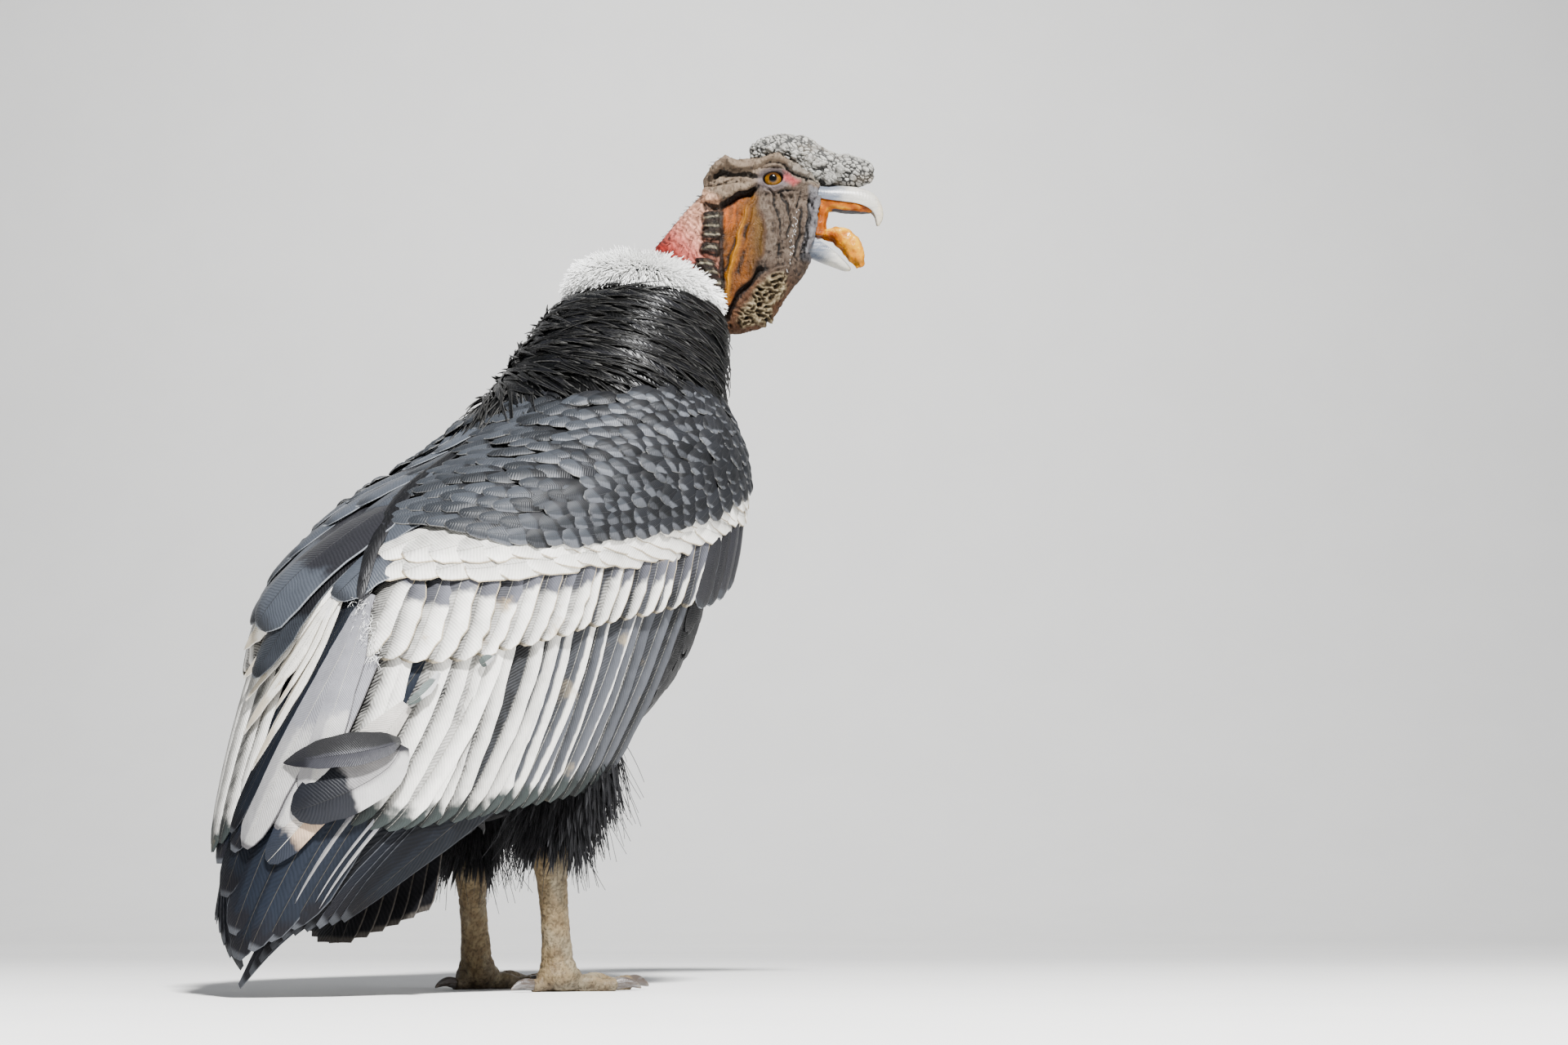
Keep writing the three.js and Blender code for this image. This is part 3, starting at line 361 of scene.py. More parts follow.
class Shader:
    """Short ways of adding nodes to one shader tree."""

    def __init__(self, tree):
        self.tree = tree

    def add(self, kind, **settings):
        node = self.tree.nodes.new("ShaderNode" + kind)
        for key, value in settings.items():
            setattr(node, key, value)
        return node

    def feed(self, socket, value):
        if isinstance(value, bpy.types.NodeSocket):
            self.tree.links.new(value, socket)
        elif isinstance(value, tuple) and len(value) == 3 and socket.type == "RGBA":
            socket.default_value = (*value, 1)
        else:
            socket.default_value = value

    def math(self, operation, *values):
        node = self.add("Math", operation=operation)
        for socket, value in zip(node.inputs, values):
            self.feed(socket, value)
        return node.outputs[0]

    def plus(self, a, b):
        return self.math("ADD", a, b)

    def minus(self, a, b):
        return self.math("SUBTRACT", a, b)

    def times(self, a, b):
        return self.math("MULTIPLY", a, b)

    def rise(self, value, low, high):
        """0 below low, 1 above high, smooth between them."""
        node = self.add("MapRange", interpolation_type="SMOOTHSTEP")
        for socket, given in zip(node.inputs, (value, low, high)):
            self.feed(socket, given)
        return node.outputs[0]

    def blend(self, factor, a, b, kind="MIX"):
        node = self.add("Mix", data_type="RGBA", blend_type=kind)
        for place, value in ((0, factor), (6, a), (7, b)):
            self.feed(node.inputs[place], value)
        return node.outputs[2]

    def mark(self, name):
        return self.add("Attribute", attribute_name=name).outputs["Fac"]

    def place(self):
        return self.add("TexCoord").outputs["Object"]

    def stretched(self, vector, scale):
        node = self.add("Mapping")
        self.feed(node.inputs["Vector"], vector)
        node.inputs["Scale"].default_value = scale
        return node.outputs[0]

    def noise(self, vector, scale, detail=2.0, roughness=0.5, distortion=0.0):
        node = self.add("TexNoise")
        for key, value in (
            ("Vector", vector), ("Scale", scale), ("Detail", detail),
            ("Roughness", roughness), ("Distortion", distortion),
        ):
            self.feed(node.inputs[key], value)
        return node.outputs[0]

    def cells(self, vector, scale, feature="F1", randomness=1.0):
        node = self.add("TexVoronoi", feature=feature)
        for key, value in (("Vector", vector), ("Scale", scale), ("Randomness", randomness)):
            self.feed(node.inputs[key], value)
        return node.outputs["Distance"]

    def group(self, tree, **values):
        node = self.add("Group", node_tree=tree)
        for key, value in values.items():
            self.feed(node.inputs[key.replace("_", " ")], value)
        return node


def new_group(name, inputs, outputs):
    """An empty node group with its sockets, and the ends that its nodes join."""
    tree = bpy.data.node_groups.new(name, "ShaderNodeTree")
    for title, default in inputs.items():
        kind = "NodeSocketColor" if isinstance(default, tuple) else "NodeSocketFloat"
        socket = tree.interface.new_socket(title, in_out="INPUT", socket_type=kind)
        socket.default_value = (*default, 1) if isinstance(default, tuple) else default
    for title, kind in outputs.items():
        tree.interface.new_socket(title, in_out="OUTPUT", socket_type=kind)
    shader = Shader(tree)
    start = tree.nodes.new("NodeGroupInput").outputs
    end = tree.nodes.new("NodeGroupOutput").inputs
    return shader, start, end


def make_vane_group():
    """Colour and relief of one feather, read from its own map: across 0 is its front edge."""
    inputs = {
        "Outer": (0.8, 0.8, 0.78), "Inner": (0.2, 0.2, 0.2), "Tip": (0.05, 0.06, 0.06),
        "Root": (0.3, 0.3, 0.32), "Rim": (0.6, 0.6, 0.6), "Shaft": (0.7, 0.68, 0.6),
        "Stain": (0.4, 0.3, 0.18), "Inner Back": 0.9, "Inner Front": 0.4, "Tip From": 0.9,
        "Root To": 0.15, "Rim Width": 0.0, "Shaft Width": 0.012, "Stains": 0.0,
        "Lines": 60.0, "Line Depth": 0.2, "Variation": 0.3, "Shade": 0.0,
    }
    s, i, o = new_group("vane", inputs, {"Color": "NodeSocketColor", "Height": "NodeSocketFloat"})
    split = s.add("SeparateXYZ")
    s.feed(split.inputs[0], s.add("UVMap", uv_map="vane").outputs[0])
    u, v = split.outputs[0], split.outputs[1]
    zone, tint, place = s.mark("zone"), s.mark("tint"), s.place()
    cloud = s.minus(s.noise(place, 70, 3), 0.5)
    from_shaft = s.math("ABSOLUTE", s.minus(u, 0.4))
    # Barbs run from the shaft to the edge, slanting towards the tip
    run = s.minus(v, s.times(from_shaft, 0.16))
    run = s.plus(run, s.times(cloud, 0.02))
    wave = s.math("SINE", s.times(s.times(run, i["Lines"]), 6.2832))
    fine = s.noise(s.stretched(place, (1, 1, 0.35)), 420, 2)
    lines = s.plus(s.times(wave, 0.5), s.minus(fine, 0.5))

    web = s.plus(i["Inner Back"], s.times(zone, s.minus(i["Inner Front"], i["Inner Back"])))
    inner_at = s.plus(u, s.times(cloud, 0.16))
    inner = s.rise(s.minus(inner_at, web), -0.04, 0.05)
    color = s.blend(inner, i["Outer"], i["Inner"])
    # The root's colour: on most feathers their own darker or greyer base; on the grey scales and dark
    # scapulars, painted shade under the row above
    root_to = s.times(i["Root To"], s.plus(1.0, s.times(zone, 1.3)))
    root_at = s.minus(s.plus(root_to, s.times(cloud, 0.2)), v)
    root_at = s.plus(root_at, s.times(s.minus(u, 0.3), s.times(zone, 0.5)))
    color = s.blend(s.rise(root_at, -0.02, 0.06), color, i["Root"])
    tip_at = s.minus(s.plus(v, s.times(cloud, 0.14)), i["Tip From"])
    color = s.blend(s.rise(tip_at, -0.01, 0.06), color, i["Tip"])
    spots = s.rise(s.noise(place, 26, 4, 0.6), 0.58, 0.72)
    chosen = s.times(spots, s.rise(tint, 0.62, 0.74))
    color = s.blend(s.times(chosen, i["Stains"]), color, i["Stain"])
    near_edge = s.math("MINIMUM", u, s.minus(1.0, u))
    near_edge = s.math("MINIMUM", near_edge, s.times(s.minus(1.0, v), 1.2))
    rim = s.minus(1.0, s.rise(near_edge, s.times(i["Rim Width"], 0.4), i["Rim Width"]))
    rim = s.times(rim, s.rise(i["Rim Width"], 0.001, 0.01))
    color = s.blend(rim, color, i["Rim"])
    shaft = s.minus(1.0, s.rise(from_shaft, s.times(i["Shaft Width"], 0.5), i["Shaft Width"]))
    color = s.blend(s.times(shaft, 0.8), color, i["Shaft"])
    change = s.times(s.minus(tint, 0.5), i["Variation"])
    change = s.plus(change, s.times(lines, i["Line Depth"]))
    change = s.plus(change, s.times(cloud, 0.5))
    # Painted shade: darker towards the side that lies under the next feather, by Shade
    under = s.times(s.rise(u, 0.08, 0.5), i["Shade"])
    change = s.minus(change, under)
    shade = s.add("HueSaturation")
    s.feed(shade.inputs["Color"], color)
    s.feed(shade.inputs["Value"], s.plus(1.0, change))
    s.feed(o["Color"], shade.outputs[0])
    s.feed(o["Height"], s.plus(s.times(lines, 0.5), s.times(shaft, 1.5)))
    return s.tree


def make_mottle_group():
    """Two colours in soft clouds, with painted shade where the relief is low."""
    inputs = {"Color": (0.5, 0.5, 0.5), "Second": (0.3, 0.3, 0.3), "Scale": 40.0,
              "Relief": 0.5, "Crease": 0.6}
    s, i, o = new_group("mottle", inputs, {"Color": "NodeSocketColor"})
    clouds = s.rise(s.noise(s.place(), i["Scale"], 4, 0.6), 0.35, 0.65)
    color = s.blend(clouds, i["Color"], i["Second"])
    # Painted shade: darker where the relief is low
    low = s.minus(1.0, s.rise(i["Relief"], 0.25, 0.6))
    shade = s.add("HueSaturation")
    s.feed(shade.inputs["Color"], color)
    s.feed(shade.inputs["Value"], s.minus(1.0, s.times(low, i["Crease"])))
    s.feed(o["Color"], shade.outputs[0])
    return s.tree


def make_pebble_group():
    """Relief of small grains with creases between them."""
    inputs = {"Scale": 600.0, "Fine": 2.6, "Depth": 1.0}
    s, i, o = new_group("pebble", inputs, {"Height": "NodeSocketFloat"})
    place = s.place()
    large = s.cells(place, i["Scale"])
    small = s.cells(place, s.times(i["Scale"], i["Fine"]))
    both = s.plus(large, s.times(small, 0.4))
    s.feed(o["Height"], s.times(s.minus(1.0, both), i["Depth"]))
    return s.tree


VANE_GROUP = make_vane_group()
MOTTLE = make_mottle_group()
PEBBLE = make_pebble_group()


def material(name, roughness, **finish):
    """A material whose constant values sit on the shader's own sockets."""
    made = bpy.data.materials.new(name)
    made.use_nodes = True
    shader = Shader(made.node_tree)
    surface = made.node_tree.nodes["Principled BSDF"]
    surface.inputs["Roughness"].default_value = roughness
    for key, value in finish.items():
        shader.feed(surface.inputs[key.replace("_", " ")], value)
    return made, shader, surface


def bump(shader, surface, height, distance, strength=1.0):
    node = shader.add("Bump")
    shader.feed(node.inputs["Height"], height)
    node.inputs["Strength"].default_value = strength
    node.inputs["Distance"].default_value = distance
    shader.tree.links.new(node.outputs[0], surface.inputs["Normal"])


FEATHER_RELIEF = 0.0004


def feather_material(name, roughness, shine=0.28, web=None, **look):
    """The finish of a kind of feather; web is where its inner web starts, if that is even."""
    if web is not None:
        look.update(Inner_Back=web, Inner_Front=web)
    made, s, surface = material(name, roughness, Specular_IOR_Level=shine)
    vane = s.group(VANE_GROUP, **look)
    s.feed(surface.inputs["Base Color"], vane.outputs["Color"])
    bump(s, surface, vane.outputs["Height"], FEATHER_RELIEF)
    return made


# Wing feathers. Places on a wing run from the spine (0) to the wrist at the breast side (1).
WING_START = {RIGHT: (19, 5), LEFT: (8, 4)}
WING_FRONT = 134


def wing_angle(side, p, height):
    low, high = WING_START[side]
    near = mix(low, high, np.clip((height - 380) / 180, 0, 1))
    return mix(near, WING_FRONT, p) * DEG


PLUME = {
    "lean": 0, "curl": 0, "lift": 0, "rise": 0, "sink": 0, "roll": 0, "camber": 0.03, "arch": 0,
    "edge": 0.04, "sway": 1.2, "stir": 0.8, "vary": 0.05, "length": 1, "bow": 0,
}


def plumes(surface, side, seed, angle, height, outline, rings, across, zone, from_tip=False, **values):
    """A set of feathers on a surface, each a little different from the next."""
    roll = np.random.default_rng(seed)
    count = len(angle)
    given = {**PLUME, **values}
    f = {key: np.broadcast_to(np.asarray(v, float), (count,)).copy() for key, v in given.items()}
    f["angle"], f["height"] = np.asarray(angle, float), np.asarray(height, float)
    f["length"] *= 1 + f["vary"] * roll.uniform(-1, 1, count)
    f["width"] *= 1 + 0.6 * f["vary"] * roll.uniform(-1, 1, count)
    f["lean"] = (f["lean"] + f["sway"] * roll.normal(0, 1, count)) * DEG
    f["curl"] = (f["curl"] + f["sway"] * roll.normal(0, 1, count)) * DEG
    f["lift"] += f["stir"] * roll.uniform(-1, 1, count)
    f["ragged"] = 1 + f["edge"][:, None] * roll.normal(0, 1, (count, rings))
    t = rings_of(outline, rings)[0]
    if "tip_angle" in f:
        line = spanned(surface, side, f, t)
    else:
        line = marched(surface, side, f, t, from_tip)
    grid, out = lay(surface, side, f, outline, rings, across, line)
    uv = np.stack([0.5 + side * line[0, :, 0] / 6.6, line[1, :, 0] / 1000], -1)
    return grid, out, {"tint": roll.random(count), "zone": np.broadcast_to(zone, (count,))}, uv


def joined(sets):
    grids, outs, marks, uvs = zip(*sets)
    both = {key: np.concatenate([m[key] for m in marks]) for key in marks[0]}
    return np.concatenate(grids), np.concatenate(outs), both, np.concatenate(uvs)


def plumage(name, look, sets, across=VANE, thick=0.7):
    grid, out, marks, uv = joined(sets)
    feather_mesh(name, look, grid, out, across, thick, marks, uv)


BLACK = (0.018, 0.018, 0.021)
slate_look = feather_material(
    "slate_vane", 0.5, shine=0.12, web=0.6, Outer=(0.008, 0.0105, 0.016),
    Inner=(0.005, 0.006, 0.009), Tip=(0.006, 0.006, 0.008), Root=(0.3, 0.3, 0.3), Root_To=0.02,
    Rim=(0.05, 0.053, 0.06), Rim_Width=0.03, Shaft=(0.06, 0.055, 0.045), Shaft_Width=0.009,
    Line_Depth=0.25, Variation=0.9,
)
banded_look = feather_material(
    "banded_vane", 0.6, Outer=(0.8, 0.78, 0.73), Inner=(0.075, 0.08, 0.093), Inner_Back=0.86,
    Inner_Front=-0.12, Tip=(0.022, 0.029, 0.028), Tip_From=0.875, Root=(0.3, 0.3, 0.32),
    Root_To=0.05, Stain=(0.45, 0.36, 0.22), Stains=0.5, Lines=70.0, Shade=0.8,
)
greater_look = feather_material(
    "white_covert", 0.7, Outer=(0.82, 0.8, 0.75), Inner=(0.09, 0.094, 0.108), Inner_Back=1.15,
    Inner_Front=0.1, Tip=(0.8, 0.77, 0.7), Tip_From=1.2, Root=(0.09, 0.092, 0.11), Root_To=0.36,
    Stain=(0.45, 0.34, 0.2), Stains=0.9, Rim=(0.32, 0.27, 0.19), Rim_Width=0.04, Lines=40.0,
    Shade=0.75,
)
median_look = feather_material(
    "cream_covert", 0.75, Outer=(0.83, 0.81, 0.75), Inner=(0.14, 0.145, 0.16), Inner_Back=1.4,
    Inner_Front=0.5, Tip=(0.84, 0.82, 0.77), Tip_From=0.8, Root=(0.1, 0.1, 0.115), Root_To=0.12,
    Stain=(0.5, 0.4, 0.26), Stains=0.6, Rim=(0.38, 0.32, 0.23), Rim_Width=0.05, Lines=30.0,
    Shade=0.45,
)
tertial_look = feather_material(
    "pale_tertial", 0.6, web=0.5, Outer=(0.42, 0.41, 0.4), Inner=(0.27, 0.265, 0.27),
    Tip=(0.1, 0.1, 0.11), Tip_From=0.98, Root=(0.2, 0.2, 0.22), Root_To=0.5, Lines=90.0,
    Shaft_Width=0.006, Rim=(0.1, 0.095, 0.1), Rim_Width=0.03,
)
ragged_look = feather_material(
    "ragged_vane", 0.7, Outer=(0.78, 0.75, 0.68), Inner=(0.3, 0.27, 0.22), Inner_Back=0.72,
    Inner_Front=0.5, Tip=(0.5, 0.44, 0.34), Tip_From=0.75, Root=(0.75, 0.73, 0.7), Root_To=0.2,
    Stain=(0.3, 0.2, 0.08), Stains=0.8, Rim=(0.8, 0.76, 0.68), Rim_Width=0.05, Lines=50.0,
    Variation=0.5,
)
# Its dark root, far up each feather, is painted shade under the row above.
lesser_look = feather_material(
    "grey_scale", 0.5, Outer=(0.062, 0.066, 0.075), Inner=(0.023, 0.026, 0.031), Inner_Back=-0.1,
    Inner_Front=0.95, Tip=(0.03, 0.032, 0.036), Tip_From=0.93, Root=(0.006, 0.0065, 0.008),
    Root_To=0.45, Stain=(0.012, 0.012, 0.013), Stains=0.7, Rim=(0.1, 0.1, 0.098),
    Rim_Width=0.035, Shaft=(0.05, 0.05, 0.05), Shaft_Width=0.006, Lines=24.0, Line_Depth=0.3,
    Variation=1.2,
)
# Its dark root, far up each feather, is painted shade under the row above.
scapular_look = feather_material(
    "dark_scapular", 0.42, Outer=(0.036, 0.041, 0.05), Inner=(0.024, 0.027, 0.033),
    Tip=(0.02, 0.022, 0.026), Tip_From=0.9, Root=(0.01, 0.01, 0.012), Root_To=0.56,
    Rim=(0.15, 0.16, 0.175), Rim_Width=0.02, Shaft=(0.014, 0.014, 0.016), Shaft_Width=0.01,
    Lines=60.0, Line_Depth=0.14, Variation=1.0,
)
stray_look = feather_material(
    "stray_vane", 0.42, web=0.5, Outer=(0.026, 0.026, 0.031), Inner=(0.01, 0.01, 0.011),
    Tip=(0.008, 0.008, 0.01), Tip_From=0.8, Root=(0.03, 0.03, 0.03), Root_To=0.1, Lines=60.0,
    Line_Depth=0.1, Shaft=(0.012, 0.012, 0.014), Shaft_Width=0.008,
)
small_look = feather_material(
    "small_grey_vane", 0.55, web=0.4, Outer=(0.5, 0.5, 0.5), Inner=(0.09, 0.11, 0.105),
    Tip=(0.06, 0.075, 0.07), Tip_From=0.7, Root=(0.4, 0.4, 0.4), Root_To=0.2, Lines=30.0,
)
dark_ended_look = feather_material(
    "dark_ended_vane", 0.5, web=0.35, Outer=(0.5, 0.49, 0.48), Inner=(0.3, 0.29, 0.29),
    Tip=(0.008, 0.009, 0.013), Tip_From=0.6, Root=(0.02, 0.02, 0.024), Root_To=0.1, Lines=50.0,
    Line_Depth=0.1, Shaft=(0.03, 0.03, 0.03), Shaft_Width=0.006, Shade=0.3,
)
stained_look = feather_material(
    "stained_vane", 0.55, web=0.4, Outer=(0.5, 0.36, 0.25), Inner=(0.55, 0.5, 0.45),
    Tip=(0.016, 0.02, 0.03), Tip_From=0.8, Root=(0.5, 0.47, 0.43), Root_To=0.4,
    Stain=(0.36, 0.17, 0.07), Stains=0.6, Lines=60.0, Variation=0.2,
)
black_look = feather_material(
    "black_vane", 0.45, shine=0.2, Outer=(0.006, 0.006, 0.007), Inner=(0.004, 0.004, 0.005),
    Tip=(0.01, 0.01, 0.011), Tip_From=0.8, Root=(0.006, 0.006, 0.007), Root_To=0.1,
    Rim=(0.02, 0.02, 0.022), Rim_Width=0.12, Shaft=(0.01, 0.01, 0.01), Shaft_Width=0.01,
    Lines=30.0, Variation=0.7,
)
hackle_look = feather_material(
    "hackle_vane", 0.34, shine=0.2, Outer=(0.004, 0.004, 0.005), Inner=(0.002, 0.002, 0.003),
    Tip=(0.008, 0.008, 0.008), Tip_From=0.84, Root=(0.001, 0.001, 0.001), Root_To=0.4,
    Rim=(0.045, 0.044, 0.042), Rim_Width=0.12, Shaft=(0.01, 0.01, 0.01), Shaft_Width=0.02,
    Lines=16.0, Variation=1.1,
)
tail_look = feather_material(
    "tail_vane", 0.45, shine=0.15, Outer=(0.012, 0.012, 0.014), Inner=(0.009, 0.009, 0.01),
    Tip=(0.006, 0.006, 0.007), Tip_From=0.85, Root=(0.006, 0.006, 0.006), Root_To=0.1,
    Rim=(0.05, 0.045, 0.04), Rim_Width=0.03, Shaft=(0.06, 0.055, 0.045), Shaft_Width=0.014,
    Lines=50.0, Variation=0.5,
)
down_look = feather_material(
    "white_down", 0.9, Outer=(0.93, 0.93, 0.91), Inner=(0.92, 0.92, 0.9), Tip=(0.96, 0.96, 0.94),
    Tip_From=0.7, Root=(0.88, 0.88, 0.86), Root_To=0.1, Shaft_Width=0.001, Lines=8.0,
    Line_Depth=0.05, Variation=0.15,
)


# Where the tips of each tier end: place on the wing, then the heights of the lesser, median and
# greater coverts, the secondaries, and the wing's upper edge
TIERS = np.array([
    [-0.1, 440, 378, 316, 172, 578], [0.0, 434, 376, 310, 166, 572], [0.1, 430, 374, 303, 160, 566],
    [0.22, 420, 377, 302, 150, 562], [0.33, 421, 390, 314, 150, 566], [0.45, 430, 399, 327, 155, 572],
    [0.6, 440, 416, 344, 163, 580], [0.76, 456, 441, 359, 172, 590], [0.87, 480, 455, 370, 178, 588],
    [1.02, 510, 468, 382, 186, 574],
], float)
LESSER, MEDIAN, GREATER, SECONDARY, WING_TOP = 1, 2, 3, 4, 5


LESSER_ROWS, LESSER_COUNT, LESSER_STEP = 12, 27, 13.2


def by_place(*pairs):
    """A value that changes along the wing."""
    return lambda p: np.interp(p, *zip(*pairs))


def primaries(side, word, seed):
    """They cross under the tail end: the longest ends lowest, nearest the middle of the back."""
    right = side == RIGHT
    share = np.linspace(0, 1, 10)
    tip_z = np.interp(share, (0, 0.4, 1), (13, 52, 66)) + (0 if right else 16)
    tip_turn = mix(3.0 if right else -3.0, 47.0 if right else 40.0, share ** 0.85) * DEG
    plumage("primaries_" + word, slate_look, [plumes(
        cloak, side, seed, tip_turn, tip_z, "primary", 20, VANE, share, from_tip=True,
        length=mix(560, 470, share), width=60, lean=mix(16, 8, share), curl=mix(30, 26, share),
        lift=mix(-27, -19, share), rise=mix(0, 4, share), edge=0.02, vary=0.01, camber=0.04,
        stir=0.4, sway=0.6,
    )], thick=0.8)


def wrist_coverts(side, word, seed):
    """Dark coverts that close the wing's front edge."""
    at_wrist = np.array([0.945, 0.98, 1.015, 1.05])
    tips = np.array([374.0, 378, 386, 398])
    plumage("wrist_coverts_" + word, scapular_look, [plumes(
        cloak, side, seed + 90, wing_angle(side, at_wrist, tips), tips, "covert", 12, VANE, at_wrist,
        from_tip=True, length=np.array([92.0, 112, 122, 122]), width=26, lean=-12, curl=-8,
        lift=-3.5, rise=4, roll=0.16, edge=0.04, vary=0.06, camber=0.12,
    )])


def lesser_coverts(side, word, seed):
    """Rows of small grey feathers, even at the lower edge and looser above it."""
    rows = []
    for row in range(LESSER_ROWS):
        even = row < 2
        share = (np.arange(LESSER_COUNT) + 0.5 * (row % 2)) / LESSER_COUNT
        start = -0.03 - 0.05 * smooth(row, 5, 9) + (0 if side == RIGHT else 0.22)
        p = mix(start, 1.04, share)
        height = along(TIERS, LESSER, p) + LESSER_STEP * row
        if not even:
            roll = np.random.default_rng(seed + 30 + row)
            p, height = p + roll.normal(0, 0.007, len(p)), height + roll.normal(0, 2.6, len(p))
        keep = height < along(TIERS, WING_TOP, p) + 4
        p, height = p[keep], height[keep]
        rows.append(plumes(
            cloak, side, seed + 60 + row, wing_angle(side, p, height), height, "scale", 7, VANE, p,
            from_tip=True, length=np.interp(p, (0, 0.3, 1), (62, 46, 38)),
            width=np.interp(p, (0, 0.3, 1), (21, 24, 23)),
            lean=np.interp(p, (0, 0.3, 0.7, 1), (62, 42, 18, 2)), curl=8, lift=2.4 + 0.25 * row,
            rise=6, sink=5, roll=0.05, edge=0.07, camber=0.17, vary=0.06 if even else 0.16,
            sway=4 if even else 9, stir=0.2 if even else 0.9,
        ))
    plumage("lesser_coverts_" + word, lesser_look, rows)


def wing(side, word):
    seed = 10 + side

    def tier(name, look, column, count, rings, outline, start, end, **values):
        """A row of feathers whose tips end along one column of the table of tiers."""
        p = mix(start, end, np.linspace(0, 1, count))
        own = {key: value(p) if callable(value) else value for key, value in values.items()}
        height = along(TIERS, column, p) + own.pop("up", 0)
        plumage(f"{name}_{word}", look, [plumes(
            cloak, side, seed + 7 * column + rings, wing_angle(side, p, height), height, outline,
            rings, VANE, p, from_tip=True, **own,
        )])

    primaries(side, word, seed)
    tier(
        "secondaries", banded_look, SECONDARY, 20, 18, "flight", 0.06, 1.04, length=282,
        width=by_place((0, 50), (0.4, 42), (1, 36)), lift=-13.5, roll=0.24, edge=0.025, vary=0.04,
        camber=0.09, sway=1.6, stir=1.3,
        lean=by_place((0, -8), (0.27, -20), (0.45, -21), (0.6, -17), (0.9, -4), (1, -2)),
        curl=by_place((0, 16), (0.27, 30), (0.45, 20), (0.6, 11), (0.9, -14), (1, -20)),
    )
    tier(
        "greater_coverts", greater_look, GREATER, 20, 13, "covert", 0.04, 1.0,
        length=by_place((0, 112), (0.5, 124), (1, 122)), width=by_place((0, 46), (0.5, 36), (1, 32)),
        lean=by_place((0, 0), (0.2, -6), (0.6, -14), (1, -18)), curl=by_place((0, 8), (1, -6)),
        lift=-7.5, rise=3, roll=0.26, edge=0.04, vary=0.16, camber=0.1, sway=2.2, stir=1.2,
    )
    for name, count, rings, up, lift in (
        ("median_coverts", 18, 10, 0, -4.5), ("median_coverts_upper", 21, 11, 16, -2.5),
    ):
        tier(
            name, median_look, MEDIAN, count, rings, "covert", 0.01 if side == RIGHT else 0.22, 0.99,
            up=by_place((0, 8 + up), (0.3, 17 + up), (0.6, 21 + up), (1, 13 + up)),
            length=by_place((0, 84), (0.5, 90), (1, 70)),
            width=by_place((0, 46), (0.5, 32), (1, 24)),
            lean=by_place((0, 36), (0.25, 44), (0.5, 58), (0.8, 58), (1, 40)), curl=6, lift=lift,
            rise=7, sink=6, roll=0.07, edge=0.05, vary=0.12, camber=0.09, sway=3, stir=0.4,
        )
    wrist_coverts(side, word, seed)
    lesser_coverts(side, word, seed)


for side, word in SIDES:
    wing(side, word)


def down_tuft():
    """A tuft of white down shows where the wing lies on the back."""
    roll = np.random.default_rng(101)
    count = 200
    share = roll.random(count)
    turn, height = mix(18, 28, share), mix(372, 304, share)
    at = cloak.point(RIGHT, (turn + roll.normal(0, 1.2, count)) * DEG, height)
    face = cloak.axes(RIGHT, turn * DEG, height)[3]
    blades(
        "down_tuft", "down", down_look, "strand", 4, HAIR, 0.4, roll, at - face * 2, face,
        length=roll.uniform(5, 12, count), width=roll.uniform(0.4, 0.8, count),
        bend=roll.uniform(-3, 3, count), droop=roll.uniform(0, 5, count),
        sway=roll.normal(0, 1.5, count), way=face * 0.5 + roll.normal(0, 0.5, (count, 3)) - [0, 0, 0.5],
        uv=np.stack([0.42 + 0.02 * share, height / 1000], -1),
    )


def scapular_rows():
    """Dark feathers between the wings, in rows that rise towards the neck."""
    dark = []
    roll = np.random.default_rng(90)
    for row in range(8):
        z = 346 + 30 * row
        right = np.interp(z, (371, 439, 487, 533, 572), (14, 11, 6, 0, -5))
        for turn in np.arange(right - 8 * (row % 2), -48, -16):
            tip = turn + roll.uniform(-2, 2)
            end = z + roll.uniform(-7, 7) + 0.5 * abs(tip + 8)
            root = tip + np.interp(tip, (-40, 15), (2, 12))
            dark.append([root, z + 118 - 6 * row, tip, end, 66 - 3.5 * row, 0.5 * row - 5, 0])
    return [*dark, [12, 470, -8, 338, 92, 4, 1], [14, 440, -5, 288, 46, 2, 1]]


